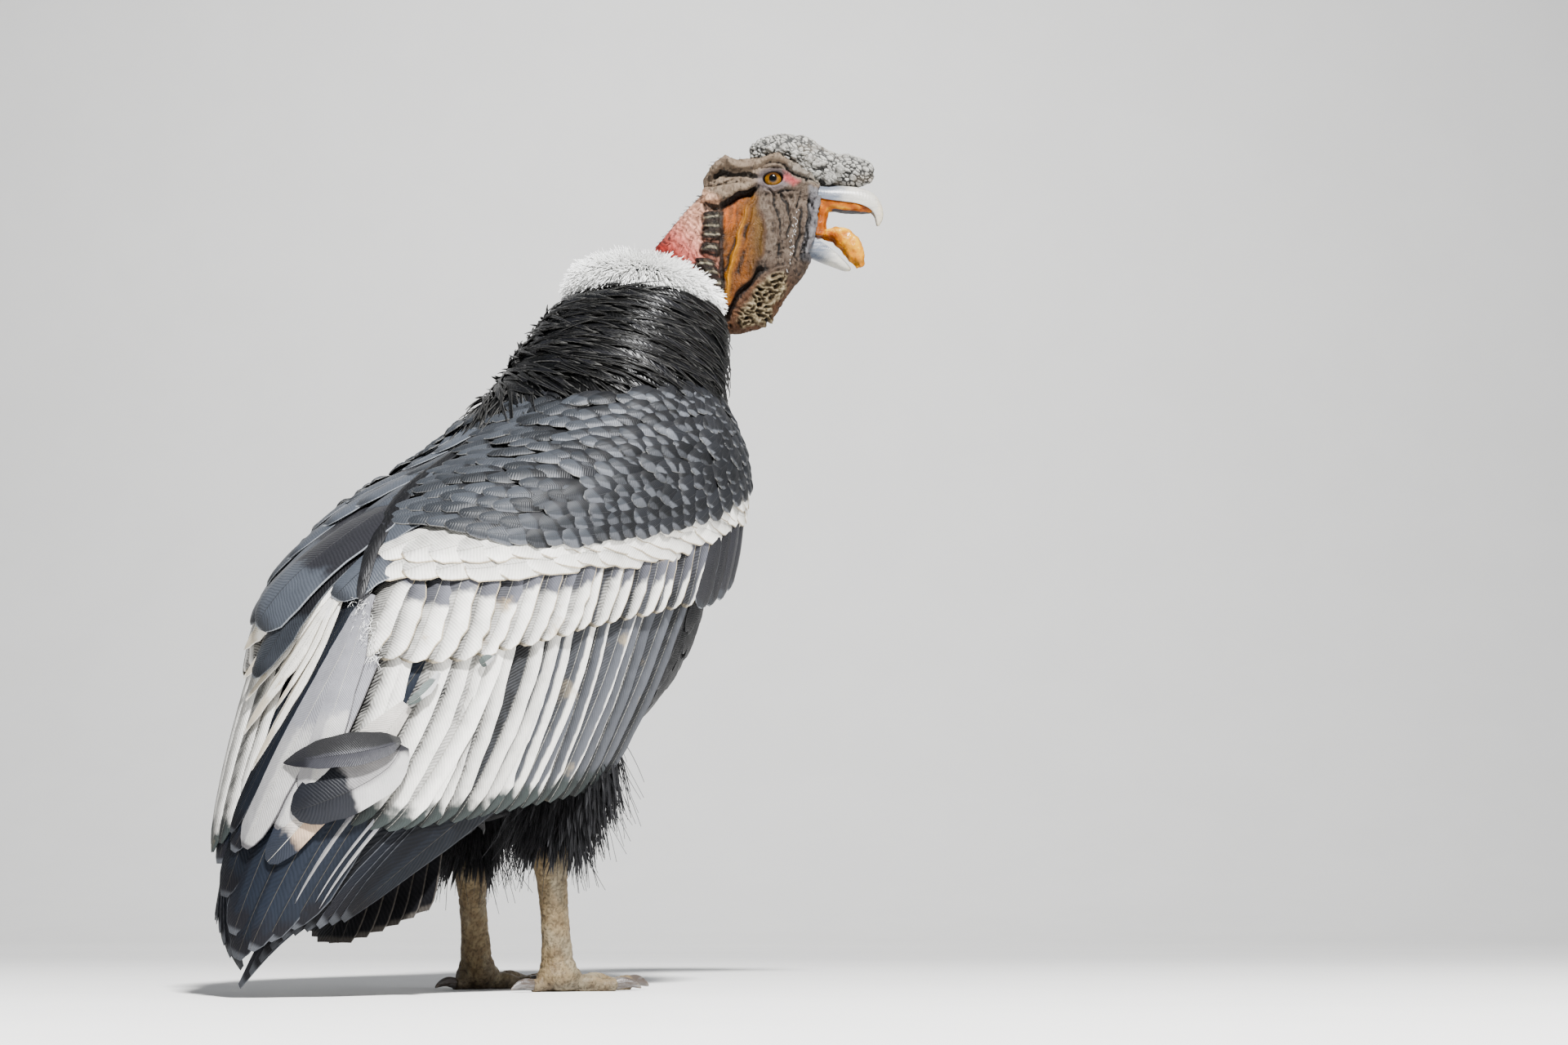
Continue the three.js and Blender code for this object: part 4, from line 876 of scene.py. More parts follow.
def back_feathers():
    """Dark feathers between the wings, long ragged ones under them and the inmost wing feathers.

    Each row is root angle and height, tip angle and height, width, lift, bow; angles are degrees
    from the spine, to the right when positive.
    """
    def laid(name, look, seed, outline, rings, rows, slot="wing_feather", **values):
        table = np.array(rows, float)
        plumage(name, look, [plumes(
            cloak, RIGHT, seed, table[:, 0] * DEG, table[:, 1], outline, rings, VANE, 0.1,
            tip_angle=table[:, 2] * DEG, tip_height=table[:, 3], width=table[:, 4],
            lift=table[:, 5], bow=table[:, 6] * DEG, **values,
        )])

    laid(
        "scapulars", scapular_look, 91, "covert", 16, scapular_rows(), "black_feather",
        rise=9, sink=6, roll=0.05, camber=0.08, edge=0.03, vary=0.1, stir=0.3,
    )
    laid("scapular_edge", black_look, 92, "flight", 16, [
        [-5, 570, 20, 372, 15, 8, 2], [-4, 560, 18, 400, 17, 7, 2.5], [4, 520, 21, 356, 13, 7, 1.5],
    ], "black_feather", rise=1, sink=4, camber=0.16, edge=0.02, vary=0.04)
    laid("tertials_dark", slate_look, 93, "flight", 16, [
        [14, 372, -4, 92, 56, -10, 0], [6, 372, -5, 128, 50, -9.5, 0], [-4, 372, -12, 122, 50, -9, 0],
        [26, 372, 4, 58, 60, -11, 1], [36, 372, 7, 36, 60, -12, 1], [44, 372, 13, 44, 60, -13, 1],
        [50, 372, 20, 52, 60, -14, 1], [56, 372, 28, 62, 58, -15, 1], [18, 366, -2, 132, 44, -4.5, 3],
        [19, 374, -3, 148, 24, -0.5, 2],
    ], camber=0.05, edge=0.03, vary=0.02)
    laid("pale_edges", tertial_look, 98, "primary", 14, [
        [52, 250, 28, 84, 5, -11, -2], [62, 230, 37, 78, 4, -12, -2], [58, 226, 35, 84, 3, -11.5, -2],
    ], camber=0.1, edge=0.06, vary=0.02)
    laid("tertials_pale", tertial_look, 94, "flight", 16, [
        [21, 366, 5, 134, 54, -2.5, 2], [24, 360, 16, 150, 50, -4.5, 2], [22, 350, 24, 176, 40, 0, -1],
    ], camber=0.07, edge=0.02, vary=0.03, roll=0.05)
    laid("white_strip", banded_look, 97, "flight", 18, [
        [-2, 372, -7, 168, 36, -5.5, 2], [-6, 374, -11, 140, 44, -6, 2],
        [-12, 374, -17, 132, 48, -7, 1], [-18, 374, -24, 140, 48, -8, 0],
    ], camber=0.08, edge=0.05, vary=0.05, roll=0.06)
    laid("ragged_feathers", ragged_look, 95, "primary", 18, [
        [16, 386, -6, 238, 22, 2.5, 2], [14, 386, -13, 292, 30, 4.5, 2], [16, 380, -1, 262, 14, 3.5, 2],
        [11, 384, -18, 322, 30, 5, 1], [15, 372, 1, 204, 13, 0.5, 3], [14, 366, 5, 256, 9, 4, 2],
        [13, 380, -9, 270, 16, 3.5, 2],
    ], camber=0.08, edge=0.07, vary=0.03)
    laid("stained_feathers", stained_look, 99, "flight", 14, [
        [40, 262, 15, 122, 40, -5.5, 2],
    ], camber=0.06, edge=0.02, vary=0.02)
    laid("small_grey_feathers", small_look, 100, "covert", 8, [
        [44, 292, 40, 262, 10, 0, 1], [57, 312, 54, 301, 11, -2.5, 0],
    ], rise=2, camber=0.1, edge=0.1)
    laid("stray_feather", stray_look, 96, "leaf", 18, [
        [42, 229, 14, 208, 30, 4, 4],
    ], "black_feather", arch=9, camber=-0.1, edge=0.02, vary=0.02, sway=0)
    laid("dark_ended_feather", dark_ended_look, 103, "covert", 14, [
        [42, 226, 20, 166, 54, 0, 6],
    ], camber=0.08, edge=0.02, sway=0)
    down_tuft()


back_feathers()


def ring_places(low, high, gap_up, gap_round, seed, scatter=0.3):
    """Feather roots in rows all round the trunk, as side, angle and height."""
    roll = np.random.default_rng(seed)
    found = []
    rows = int((high - low) / gap_up)
    for row in range(rows):
        height = high - (high - low) * row / max(rows - 1, 1)
        a, b = along(TRUNK, 2, height), along(TRUNK, 3, height)
        count = int(math.pi * (a + b) / gap_round)
        turn = (np.arange(count) + 0.5 * (row % 2) + scatter * roll.uniform(-1, 1, count)) / count
        turn = turn * 2 * math.pi - math.pi
        jog = height + gap_up * scatter * roll.uniform(-1, 1, count)
        found.append(np.stack([np.where(turn < 0, -1.0, 1.0), np.abs(turn), jog], -1))
    return np.concatenate(found)


def coat(name, look, seed, places, outline, rings, **values):
    """Dark feathers on both sides of the trunk; a value may be a function of side, angle, height."""
    sets = []
    for side, _ in SIDES:
        mine = places[places[:, 0] == side]
        angle, height = mine[:, 1], mine[:, 2]
        own = {k: v(side, angle, height) if callable(v) else v for k, v in values.items()}
        sets.append(plumes(trunk, side, seed + side, angle, height, outline, rings, LEAF, 0.5, **own))
    plumage(name, look, sets, LEAF)


def sweep(side, angle, height):
    """The neck's hackles run round it, from the left over the back to the right and the breast."""
    turn = side * angle / DEG
    round_it = np.interp(turn, (-180, -150, -100, -40, 40, 100, 150, 180), (55, 72, 84, 86, 84, 60, 35, 20))
    locks = 8 * np.sin(height * 0.21 + turn * 0.11) + 7 * np.sin(height * 0.08 - turn * 0.2 + 1)
    return side * (round_it * (1 - 0.75 * smooth(-height, -640, -592)) + locks)


coat(
    "hackles", hackle_look, 50, ring_places(580, 712, 8.4, 9.6, 3), "hackle", 8, length=96, width=9,
    lean=sweep, curl=lambda side, angle, height: -6 * side,
    lift=lambda side, angle, height: 1 + 0.02 * (height - 588),
    rise=8, sink=6, sway=4, stir=2.4, vary=0.35, camber=0.22, edge=0.14,
)
coat(
    "hackle_wisps", hackle_look, 54, ring_places(590, 694, 13, 10, 5, 0.8), "hackle", 7, length=84,
    width=3.4, lean=sweep, curl=-8, lift=6, rise=9, sink=6, sway=6, stir=3, vary=0.5, camber=0.2,
    edge=0.1,
)
coat(
    "body_feathers", black_look, 60, ring_places(196, 600, 18, 17, 4, 0.5), "scale", 7, length=56,
    width=22, lean=4, lift=0, rise=4, sink=6, sway=9, vary=0.35, camber=0.14, edge=0.14, stir=1.2,
)

# The tail: twelve feathers in a fan, the middle pair outermost on the back
TAIL = {
    "count": 12, "x": -106, "z": 320, "length": 298, "width": 47, "spread": 15, "slope": 70,
    "drop": 2.6, "gap": 4.2,
}


def tail():
    slope = TAIL["slope"] * DEG
    down = np.array([-math.cos(slope), 0, -math.sin(slope)])
    back = np.array([-math.sin(slope), 0, math.cos(slope)])
    place = np.arange(TAIL["count"]) - (TAIL["count"] - 1) / 2
    turn = place / 6 * TAIL["spread"] * DEG
    layer = -np.abs(place) * TAIL["drop"] + np.where(place > 0, 0.5 * TAIL["drop"], 0)
    base = np.array([TAIL["x"], 0, TAIL["z"]]) + back * (9 + layer * 0.6)[:, None]
    blades(
        "tail_feathers", "black_feather", tail_look, "rectrix", 14, VANE, 0.9,
        np.random.default_rng(70), base + LEFTWARD * (place * TAIL["gap"])[:, None], back,
        way=down * np.cos(turn)[:, None] + LEFTWARD * np.sin(turn)[:, None],
        uv=np.stack([0.5 + place / 40, np.full(len(place), 0.32)], -1), zone=0.5,
        length=TAIL["length"] * (1 - 0.018 * np.abs(place)), width=TAIL["width"],
        rise=layer * 0.4, bend=8 - 0.8 * np.abs(place), camber=0.04,
    )


tail()


# Limbs drawn out ring by ring
def limb_rings(rows, side, sides):
    """Rings square to their path; rows are x, y, z, half width, half height."""
    rows = np.asarray(rows, float)
    place = rows[:, :3]
    forward = unit(np.gradient(place, axis=0))
    up = unit(np.cross(forward, side))
    across = unit(np.cross(up, forward))
    a = np.linspace(0, 2 * math.pi, sides, endpoint=False)
    return (
        place[:, None]
        + across[:, None] * np.cos(a)[None, :, None] * rows[:, 3][:, None, None]
        + up[:, None] * np.sin(a)[None, :, None] * rows[:, 4][:, None, None]
    )


def fuller(rows, count):
    """More rows between the given ones, on smooth curves."""
    rows = np.asarray(rows, float)
    reach = np.concatenate([[0], np.cumsum(np.linalg.norm(np.diff(rows[:, :3], axis=0), axis=1))])
    table = np.column_stack([reach, rows])
    at = np.linspace(0, reach[-1], count)
    return np.stack([along(table, c + 1, at) for c in range(rows.shape[1])], -1)


def draw_limb(name, rings):
    """Starts from a circle and extrudes it ring by ring, closing both ends."""
    bpy.ops.object.select_all(action="DESELECT")
    bpy.ops.mesh.primitive_circle_add(vertices=rings.shape[1], radius=0.01, fill_type="NGON")
    obj = bpy.context.object
    obj.name = name
    bpy.ops.object.mode_set(mode="EDIT")
    bpy.ops.mesh.select_all(action="SELECT")
    mesh = bmesh.from_edit_mesh(obj.data)
    for v, p in zip(mesh.verts, rings[0]):
        v.co = to_frame(p)
    for ring in rings[1:]:
        before = [v.co.copy() for v in mesh.verts if v.select]
        bpy.ops.mesh.extrude_region_move()
        mesh = bmesh.from_edit_mesh(obj.data)
        mesh.verts.index_update()
        for v in [v for v in mesh.verts if v.select]:
            k = min(range(len(before)), key=lambda i: (before[i] - v.co).length_squared)
            v.co = to_frame(ring[k])
    bpy.ops.mesh.select_all(action="SELECT")
    bpy.ops.mesh.normals_make_consistent(inside=False)
    bpy.ops.object.mode_set(mode="OBJECT")
    obj.select_set(False)
    return obj


def finish(obj, slot, look, levels=0):
    """Smooths a piece, gives it its finish and puts it on the body."""
    bpy.context.view_layer.objects.active = obj
    obj.select_set(True)
    if levels:
        modifier = obj.modifiers.new("rounding", "SUBSURF")
        modifier.levels = modifier.render_levels = levels
        bpy.ops.object.modifier_apply(modifier="rounding")
    bpy.ops.object.shade_smooth()
    obj.select_set(False)
    obj.data.materials.clear()
    obj.data.materials.append(look)
    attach(obj, "root")


# Soft parts: rings joined to closed meshes, melted together, then shaped point by point
def closed_rings(rings):
    """Points and faces of a closed tube of rings."""
    count, sides, _ = rings.shape
    points = np.concatenate([rings.reshape(-1, 3), [rings[0].mean(0), rings[-1].mean(0)]])
    faces = []
    for r in range(count - 1):
        for k in range(sides):
            a, b = r * sides + k, r * sides + (k + 1) % sides
            faces.append((a, b, b + sides, a + sides))
    for k in range(sides):
        faces.append(((k + 1) % sides, k, count * sides))
        faces.append(((count - 1) * sides + k, (count - 1) * sides + (k + 1) % sides, count * sides + 1))
    return points, faces


def melted(name, parts, voxel):
    """One closed, smoothed skin over all the parts, made of cells of one size."""
    points, faces, start = [], [], 0
    for part_points, part_faces in parts:
        points.append(part_points)
        faces += [tuple(i + start for i in face) for face in part_faces]
        start += len(part_points)
    mesh = bpy.data.meshes.new(name)
    mesh.from_pydata(to_frame(np.concatenate(points)).tolist(), [], faces)
    mesh.update()
    obj = linked(name, mesh)
    bpy.ops.object.select_all(action="DESELECT")
    bpy.context.view_layer.objects.active = obj
    obj.select_set(True)
    bpy.ops.object.mode_set(mode="EDIT")
    bpy.ops.mesh.select_all(action="SELECT")
    bpy.ops.mesh.normals_make_consistent(inside=False)
    bpy.ops.object.mode_set(mode="OBJECT")
    for kind, settings in (
        ("REMESH", {"mode": "VOXEL", "voxel_size": voxel * MM}),
        ("SMOOTH", {"factor": 0.5, "iterations": 2}),
    ):
        bpy.ops.object.modifier_add(type=kind)
        modifier = obj.modifiers[0]
        for key, value in settings.items():
            setattr(modifier, key, value)
        bpy.ops.object.modifier_apply(modifier=modifier.name)
    obj.select_set(False)
    return obj


def points_of(obj):
    found = np.empty(len(obj.data.vertices) * 3)
    obj.data.vertices.foreach_get("co", found)
    return found.reshape(-1, 3) / MM - SHIFT


def normals_of(obj):
    found = np.empty(len(obj.data.vertices) * 3, np.float32)
    obj.data.vertices.foreach_get("normal", found)
    return found.reshape(-1, 3).astype(float)


def in_head_axes(obj):
    """Points of a piece and the ways they face, in the head's own axes."""
    return of_head(points_of(obj)), unit(normals_of(obj) @ HEAD_AXES.T)


def set_points(obj, points):
    obj.data.vertices.foreach_set("co", to_frame(points).ravel())
    obj.data.update()


def head_limb(rows, sides, count):
    return in_head(limb_rings(fuller(rows, count), LEFTWARD, sides))


def egg(at, half, count=14, sides=24):
    t = np.linspace(0.02, 0.98, count) * math.pi
    a = np.linspace(0, 2 * math.pi, sides, endpoint=False)
    ring = np.stack([np.sin(t)[:, None] * np.cos(a), np.sin(t)[:, None] * np.sin(a),
                     np.cos(t)[:, None] * np.ones(sides)], -1)
    return np.asarray(at) + ring * np.asarray(half)


THROAT = np.array([
    [-155, -60, -30, 4], [-150, -68, -12, 10], [-140, -80, 0, 15], [-126, -86, 9, 20],
    [-112, -92, 18, 25], [-97, -92, 30, 29], [-80, -86, 38, 32], [-58, -70, 42, 33], [-34, -58, 40, 31],
    [-24, -52, 36, 28], [-15, -44, 30, 23],
], float)
NECK = [
    [-150, 6, -176, 44, 46], [-128, 4, -150, 42, 44], [-104, 2, -124, 41, 43], [-88, 1, -102, 39, 41],
    [-72, 0, -80, 38, 39], [-56, 0, -56, 36, 37], [-42, 0, -36, 33, 32], [-26, 0, -22, 29, 26],
]
SKULL = [
    [-66, 0, -12, 14, 10], [-58, 0, -11, 23, 19], [-40, 0, -9, 30, 25], [-20, 0, -9, 33, 27],
    [0, 0, -10, 32, 27], [18, 0, -12, 28, 25], [32, 0, -15, 22, 20], [44, 0, -17, 15, 13],
]
BROW = [
    [-58, 20, -4, 4, 5], [-55, 23, 4, 5, 5], [-46, 25, 9, 5.5, 4.5], [-36, 26, 7, 5, 4],
    [-24, 26, 4, 4.5, 4], [-14, 27, 7, 5, 5], [-4, 27, 9, 5, 4.5], [12, 25, 8, 5, 4.5],
    [26, 20, 2, 4.5, 4], [40, 14, -8, 3, 3],
]
CHEEK = [
    [-8, 28, -9, 3, 4], [-24, 30, -12, 5, 6], [-40, 30, -19, 6, 7.5], [-54, 28, -24, 6.5, 8],
    [-67, 22, -23, 5, 7],
]
LIP = [
    [46, 11, -20, 2, 2], [42, 14, -34, 3, 3], [40, 16, -48, 3.2, 3.2], [36, 17, -64, 3.5, 4],
    [30, 18, -80, 3, 3],
]
CURLS = [(-58, -48), (-58, -57), (-59, -66), (-60, -80), (-65, -95), (-61, -103), (-56, -112)]
# A curl from end to end: place along it, height over the skin, half width
CURL_ARCH = [(-1, -1, 1.6), (-0.6, 3.6, 2.7), (0, 5.2, 3), (0.6, 4.6, 3), (1, 0.6, 2)]
LIDS = {"radius": 9.2, "y": 29.8, "z": -8, "tip": 8}


def on_side(rows, side):
    rows = np.asarray(rows, float).copy()
    rows[:, 1] *= side
    return rows


def throat_rings():
    z = np.linspace(-155, -15, 34)
    rear, front, half = (along(THROAT, c, z) for c in (1, 2, 3))
    a = np.linspace(0, 2 * math.pi, 40, endpoint=False)
    narrow = 1 - 0.38 * np.maximum(0, np.cos(a)) ** 2
    x = ((rear + front) / 2)[:, None] + ((front - rear) / 2)[:, None] * np.cos(a)
    y = half[:, None] * np.sin(a) * narrow
    return in_head(np.stack([x, y, z[:, None] + 0 * x], -1))


def lid_rings(side):
    """The rim of the lids, a closed ring round the eye."""
    a = np.linspace(0, 2 * math.pi, 41)
    tip = LIDS["tip"] * DEG
    u, v = LIDS["radius"] * 1.26 * np.cos(a), LIDS["radius"] * 0.86 * np.sin(a)
    x, z = u * math.cos(tip) - v * math.sin(tip), u * math.sin(tip) + v * math.cos(tip)
    rows = np.stack([x, 0 * x + LIDS["y"] * side, z + LIDS["z"], 0 * x + 2.4, 0 * x + 2.2], -1)
    return in_head(limb_rings(rows, LEFTWARD, 12))


def head_parts():
    parts = [head_limb(SKULL, 36, 24), head_limb(NECK, 40, 24), throat_rings()]
    parts.append(in_head(egg((14, 0, -42), (28, 27, 34))))
    for side in (RIGHT, LEFT):
        parts += [head_limb(on_side(rows, side), 16, 20) for rows in (BROW, CHEEK, LIP)]
        parts.append(lid_rings(side))
    return [closed_rings(rings) for rings in parts]


def curl_parts(core):
    """Rolled flaps of skin down both sides of the neck, each two rolls laid on the core's surface."""
    at = of_head(points_of(core))
    roll = np.random.default_rng(8)
    parts = []
    for side in (RIGHT, LEFT):
        for x, z in CURLS:
            tilt, long = roll.uniform(-3, 1.5), roll.uniform(8.5, 10.5)
            for up in (-2.6, 2.6):
                rows = []
                for step, high, half in CURL_ARCH:
                    cx, cz = x + long * step, z + up * (1 - 0.3 * abs(step)) + tilt * step
                    near = np.hypot(at[:, 0] - cx, at[:, 2] - cz) < 3
                    y = np.max(at[near, 1] * side) if near.any() else 20
                    rows.append([cx, (y + high - 1.2) * side, cz, half, half])
                parts.append(closed_rings(head_limb(rows, 10, 9)))
    return parts


# What the skin shows from the side, in the head's own axes: forward and up
EYE_OPENING = (9.2, 6.2)
GOLD_PANEL = [
    (-20, -19), (-30, -23), (-44, -31), (-50, -40), (-50, -75), (-49, -111), (-49, -147), (-37, -127),
    (-21, -103), (-9, -83), (-8, -60), (-13, -42), (-14, -28),
]
GOLD_LINE = [(-17, -20), (-24, -36), (-33, -64), (-41, -95), (-44, -123)]
HOT_CORNER = [(-28, -20), (-46, -30), (-52, -40), (-50, -62), (-40, -56), (-34, -36)]
NAPE = [
    (-52, -28), (-50, -50), (-51, -75), (-52, -98), (-50, -120), (-52, -165), (-180, -170), (-120, -40),
    (-74, -10), (-66, -20),
]
CHIN_FIELD = [
    (-24, -127), (-15, -113), (-4, -104), (8, -98), (13, -100), (8, -119), (0, -131), (-2, -142),
    (-17, -148), (-31, -151), (-35, -146),
]
LOW_THROAT = [(-20, -106), (-38, -125), (-52, -152), (-52, -165), (0, -160), (10, -130), (2, -112)]
BROW_SKIN = [
    (-72, -29), (-60, -34), (-46, -30), (-30, -21), (-12, -8), (-10, 0), (4, 3), (16, 0), (26, -6),
    (44, -14), (44, 8), (0, 26), (-60, 24), (-80, -10),
]
PINK_PATCH = [(8, -1), (16, -2), (24, -8), (20, -12), (10, -10)]
BARE_LIP = [(35, -14), (48, -14), (46, -58), (40, -84), (27, -84), (30, -60), (36, -40)]
FOREHEAD = [(22, 14), (12, 2), (30, -8), (50, -10), (60, 10)]

FOLD_HEIGHT = 1.45
# Height, width and line of each fold; a height under 0 is a crease
FOLDS = [
    (1.6, 3.0, [
        (-68, -26), (-57, -31), (-49, -29), (-41, -25), (-33, -19), (-25, -15), (-17, -11), (-11, -8),
    ]),
    (-4.2, 3.2, [(-64, -35), (-52, -37), (-43, -32), (-34, -26), (-25, -22), (-15, -17)]),
    (-3.4, 2.4, [(-59, -7), (-51, -2), (-41, -3), (-29, -5), (-17, -4), (-11, -4)]),
    (2.6, 2.2, [(-58, -2), (-55, 5), (-46, 10), (-37, 7), (-26, 3), (-17, 6), (-6, 11), (10, 10)]),
    (1.2, 1.8, [(-58, -14), (-46, -10), (-32, -10), (-20, -8)]),
    (-1.2, 1.4, [(-62, -18), (-48, -15), (-34, -14), (-22, -10)]),
    (2.3, 1.5, GOLD_LINE),
    (0.9, 1.2, [(-24, -24), (-30, -42), (-36, -60)]),
    (0.9, 1.2, [(-21, -22), (-27, -40), (-34, -58), (-38, -76)]),
    (1.0, 1.3, [(-12, -22), (-17, -40), (-22, -62), (-30, -84)]),
    (-1.0, 1.4, [(-20, -26), (-29, -46), (-39, -74), (-47, -104)]),
    (-0.8, 3.0, [(-24, -50), (-27, -78), (-36, -106)]),
    (-1.6, 2.0, [(-50, -42), (-50, -75), (-49, -110), (-49, -140)]),
    (1.8, 3.0, [(-8, -46), (-9, -66), (-12, -84), (-23, -104), (-38, -128)]),
    (1.2, 1.2, [(12, -30), (10, -46), (8, -62), (6, -80)]),
    (1.2, 1.2, [(20, -20), (19, -36), (17, -52)]),
    (-1.2, 1.2, [(27, -16), (25, -30), (24, -44)]),
    (-4.6, 2.4, [(-9, -94), (-21, -108), (-35, -125), (-46, -143), (-50, -156)]),
    (2.2, 2.0, [(27, -34), (22, -52), (19, -69), (15, -85), (12, -99)]),
    (-1.6, 1.8, [(31, -30), (27, -50), (24, -68), (20, -88)]),
    (1.6, 1.6, [(33, -24), (31, -44), (30, -60), (26, -80)]),
    (-1.6, 1.6, [(36, -20), (36, -44), (33, -66), (27, -86)]),
    (1.7, 1.7, [(2, -20), (9, -31), (13, -46), (12, -70)]),
    (-1.5, 1.5, [(7, -20), (14, -33), (17, -50), (15, -72)]),
    (1.4, 1.5, [(14, -16), (21, -27), (22, -42)]),
    (1.3, 1.5, [(-4, -20), (0, -36), (3, -56), (1, -80)]),
    (-1.3, 1.6, [(-1, -24), (5, -42), (7, -66), (4, -88)]),
    (1.2, 1.3, [(-9, -13), (0, -19), (10, -15), (20, -14)]),
    (-1.2, 1.1, [(-11, -16), (0, -22), (11, -18), (24, -17)]),
    (1.6, 1.6, [(44, 0), (30, -1), (22, 4), (10, 9), (-6, 12)]),
    (-1.6, 1.5, [(48, -5), (32, -6), (20, 0), (8, 5), (-8, 8)]),
    (1.5, 1.4, [(40, -12), (28, -12), (16, -3)]),
]


def fold_at(height, width, line, x, z):
    """Height of one fold, which dies away towards both ends of its line."""
    ends = [np.hypot(x - line[k][0], z - line[k][1]) for k in (0, -1)]
    taper = smooth(np.minimum(*ends), 0, 7)
    return height * (0.15 + 0.85 * taper) * np.exp(-((gap_to(line, x, z) / width) ** 2))


def gap_to(line, x, z):
    """Distance in the side view to a broken line."""
    line = np.asarray(line, float)
    best = np.full(len(x), 1e9)
    for a, b in zip(line[:-1], line[1:]):
        d = b - a
        t = np.clip(((x - a[0]) * d[0] + (z - a[1]) * d[1]) / (d @ d), 0, 1)
        best = np.minimum(best, np.hypot(x - a[0] - t * d[0], z - a[1] - t * d[1]))
    return best


def within(outline, x, z, soft):
    """1 inside an outline of the side view and 0 outside, with a soft edge."""
    closed = [*outline, outline[0]]
    inside = np.zeros(len(x), bool)
    for (ax, az), (bx, bz) in zip(closed[:-1], closed[1:]):
        inside ^= ((az > z) != (bz > z)) & (x < (bx - ax) * (z - az) / (bz - az + 1e-9) + ax)
    edge = gap_to(closed, x, z)
    return smooth(np.where(inside, edge, -edge), -soft, soft)


def grain(points, size, basis="PERLIN_ORIGINAL"):
    """Noise at each point, from a table of places in the same unit as its size."""
    return np.array([noise.noise(Vector(p), noise_basis=basis) for p in np.asarray(points) / size])


def cracks(points, size, wide=0.2):
    """0 in the cracks between grains, 1 on the grains."""
    return smooth((grain(points, size, "VORONOI_F2F1") + 1) / 2, 0, wide)


def attribute(obj, name, values):
    values = np.asarray(values, np.float32)
    if values.ndim == 1:
        obj.data.attributes.new(name, "FLOAT", "POINT").data.foreach_set("value", values)
    else:
        full = np.column_stack([values, np.ones(len(values), np.float32)])
        obj.data.attributes.new(name, "FLOAT_COLOR", "POINT").data.foreach_set("color", full.ravel())


def painted(count, base, layers):
    """Colours of points: a base under layers, each a weight per point and one colour or one per point."""
    tone = np.tile(base, (count, 1))
    for weight, color in layers:
        tone = mix(tone, np.asarray(color, float), np.asarray(weight)[:, None])
    return tone


def neck_tone(reach):
    """Colours of the neck from the pale nape (low reach) to the red skin at the ruff."""
    low = np.interp(reach, (66, 90, 106, 119, 130), (0, 0.8, 1.5, 2.4, 3))[:, None]
    skin = np.array([0.46, 0.27, 0.17])
    for step, color in enumerate(((0.56, 0.26, 0.18), (0.5, 0.13, 0.1), (0.25, 0.018, 0.012))):
        skin = mix(skin, np.array(color), np.clip(low - step, 0, 1))
    return skin


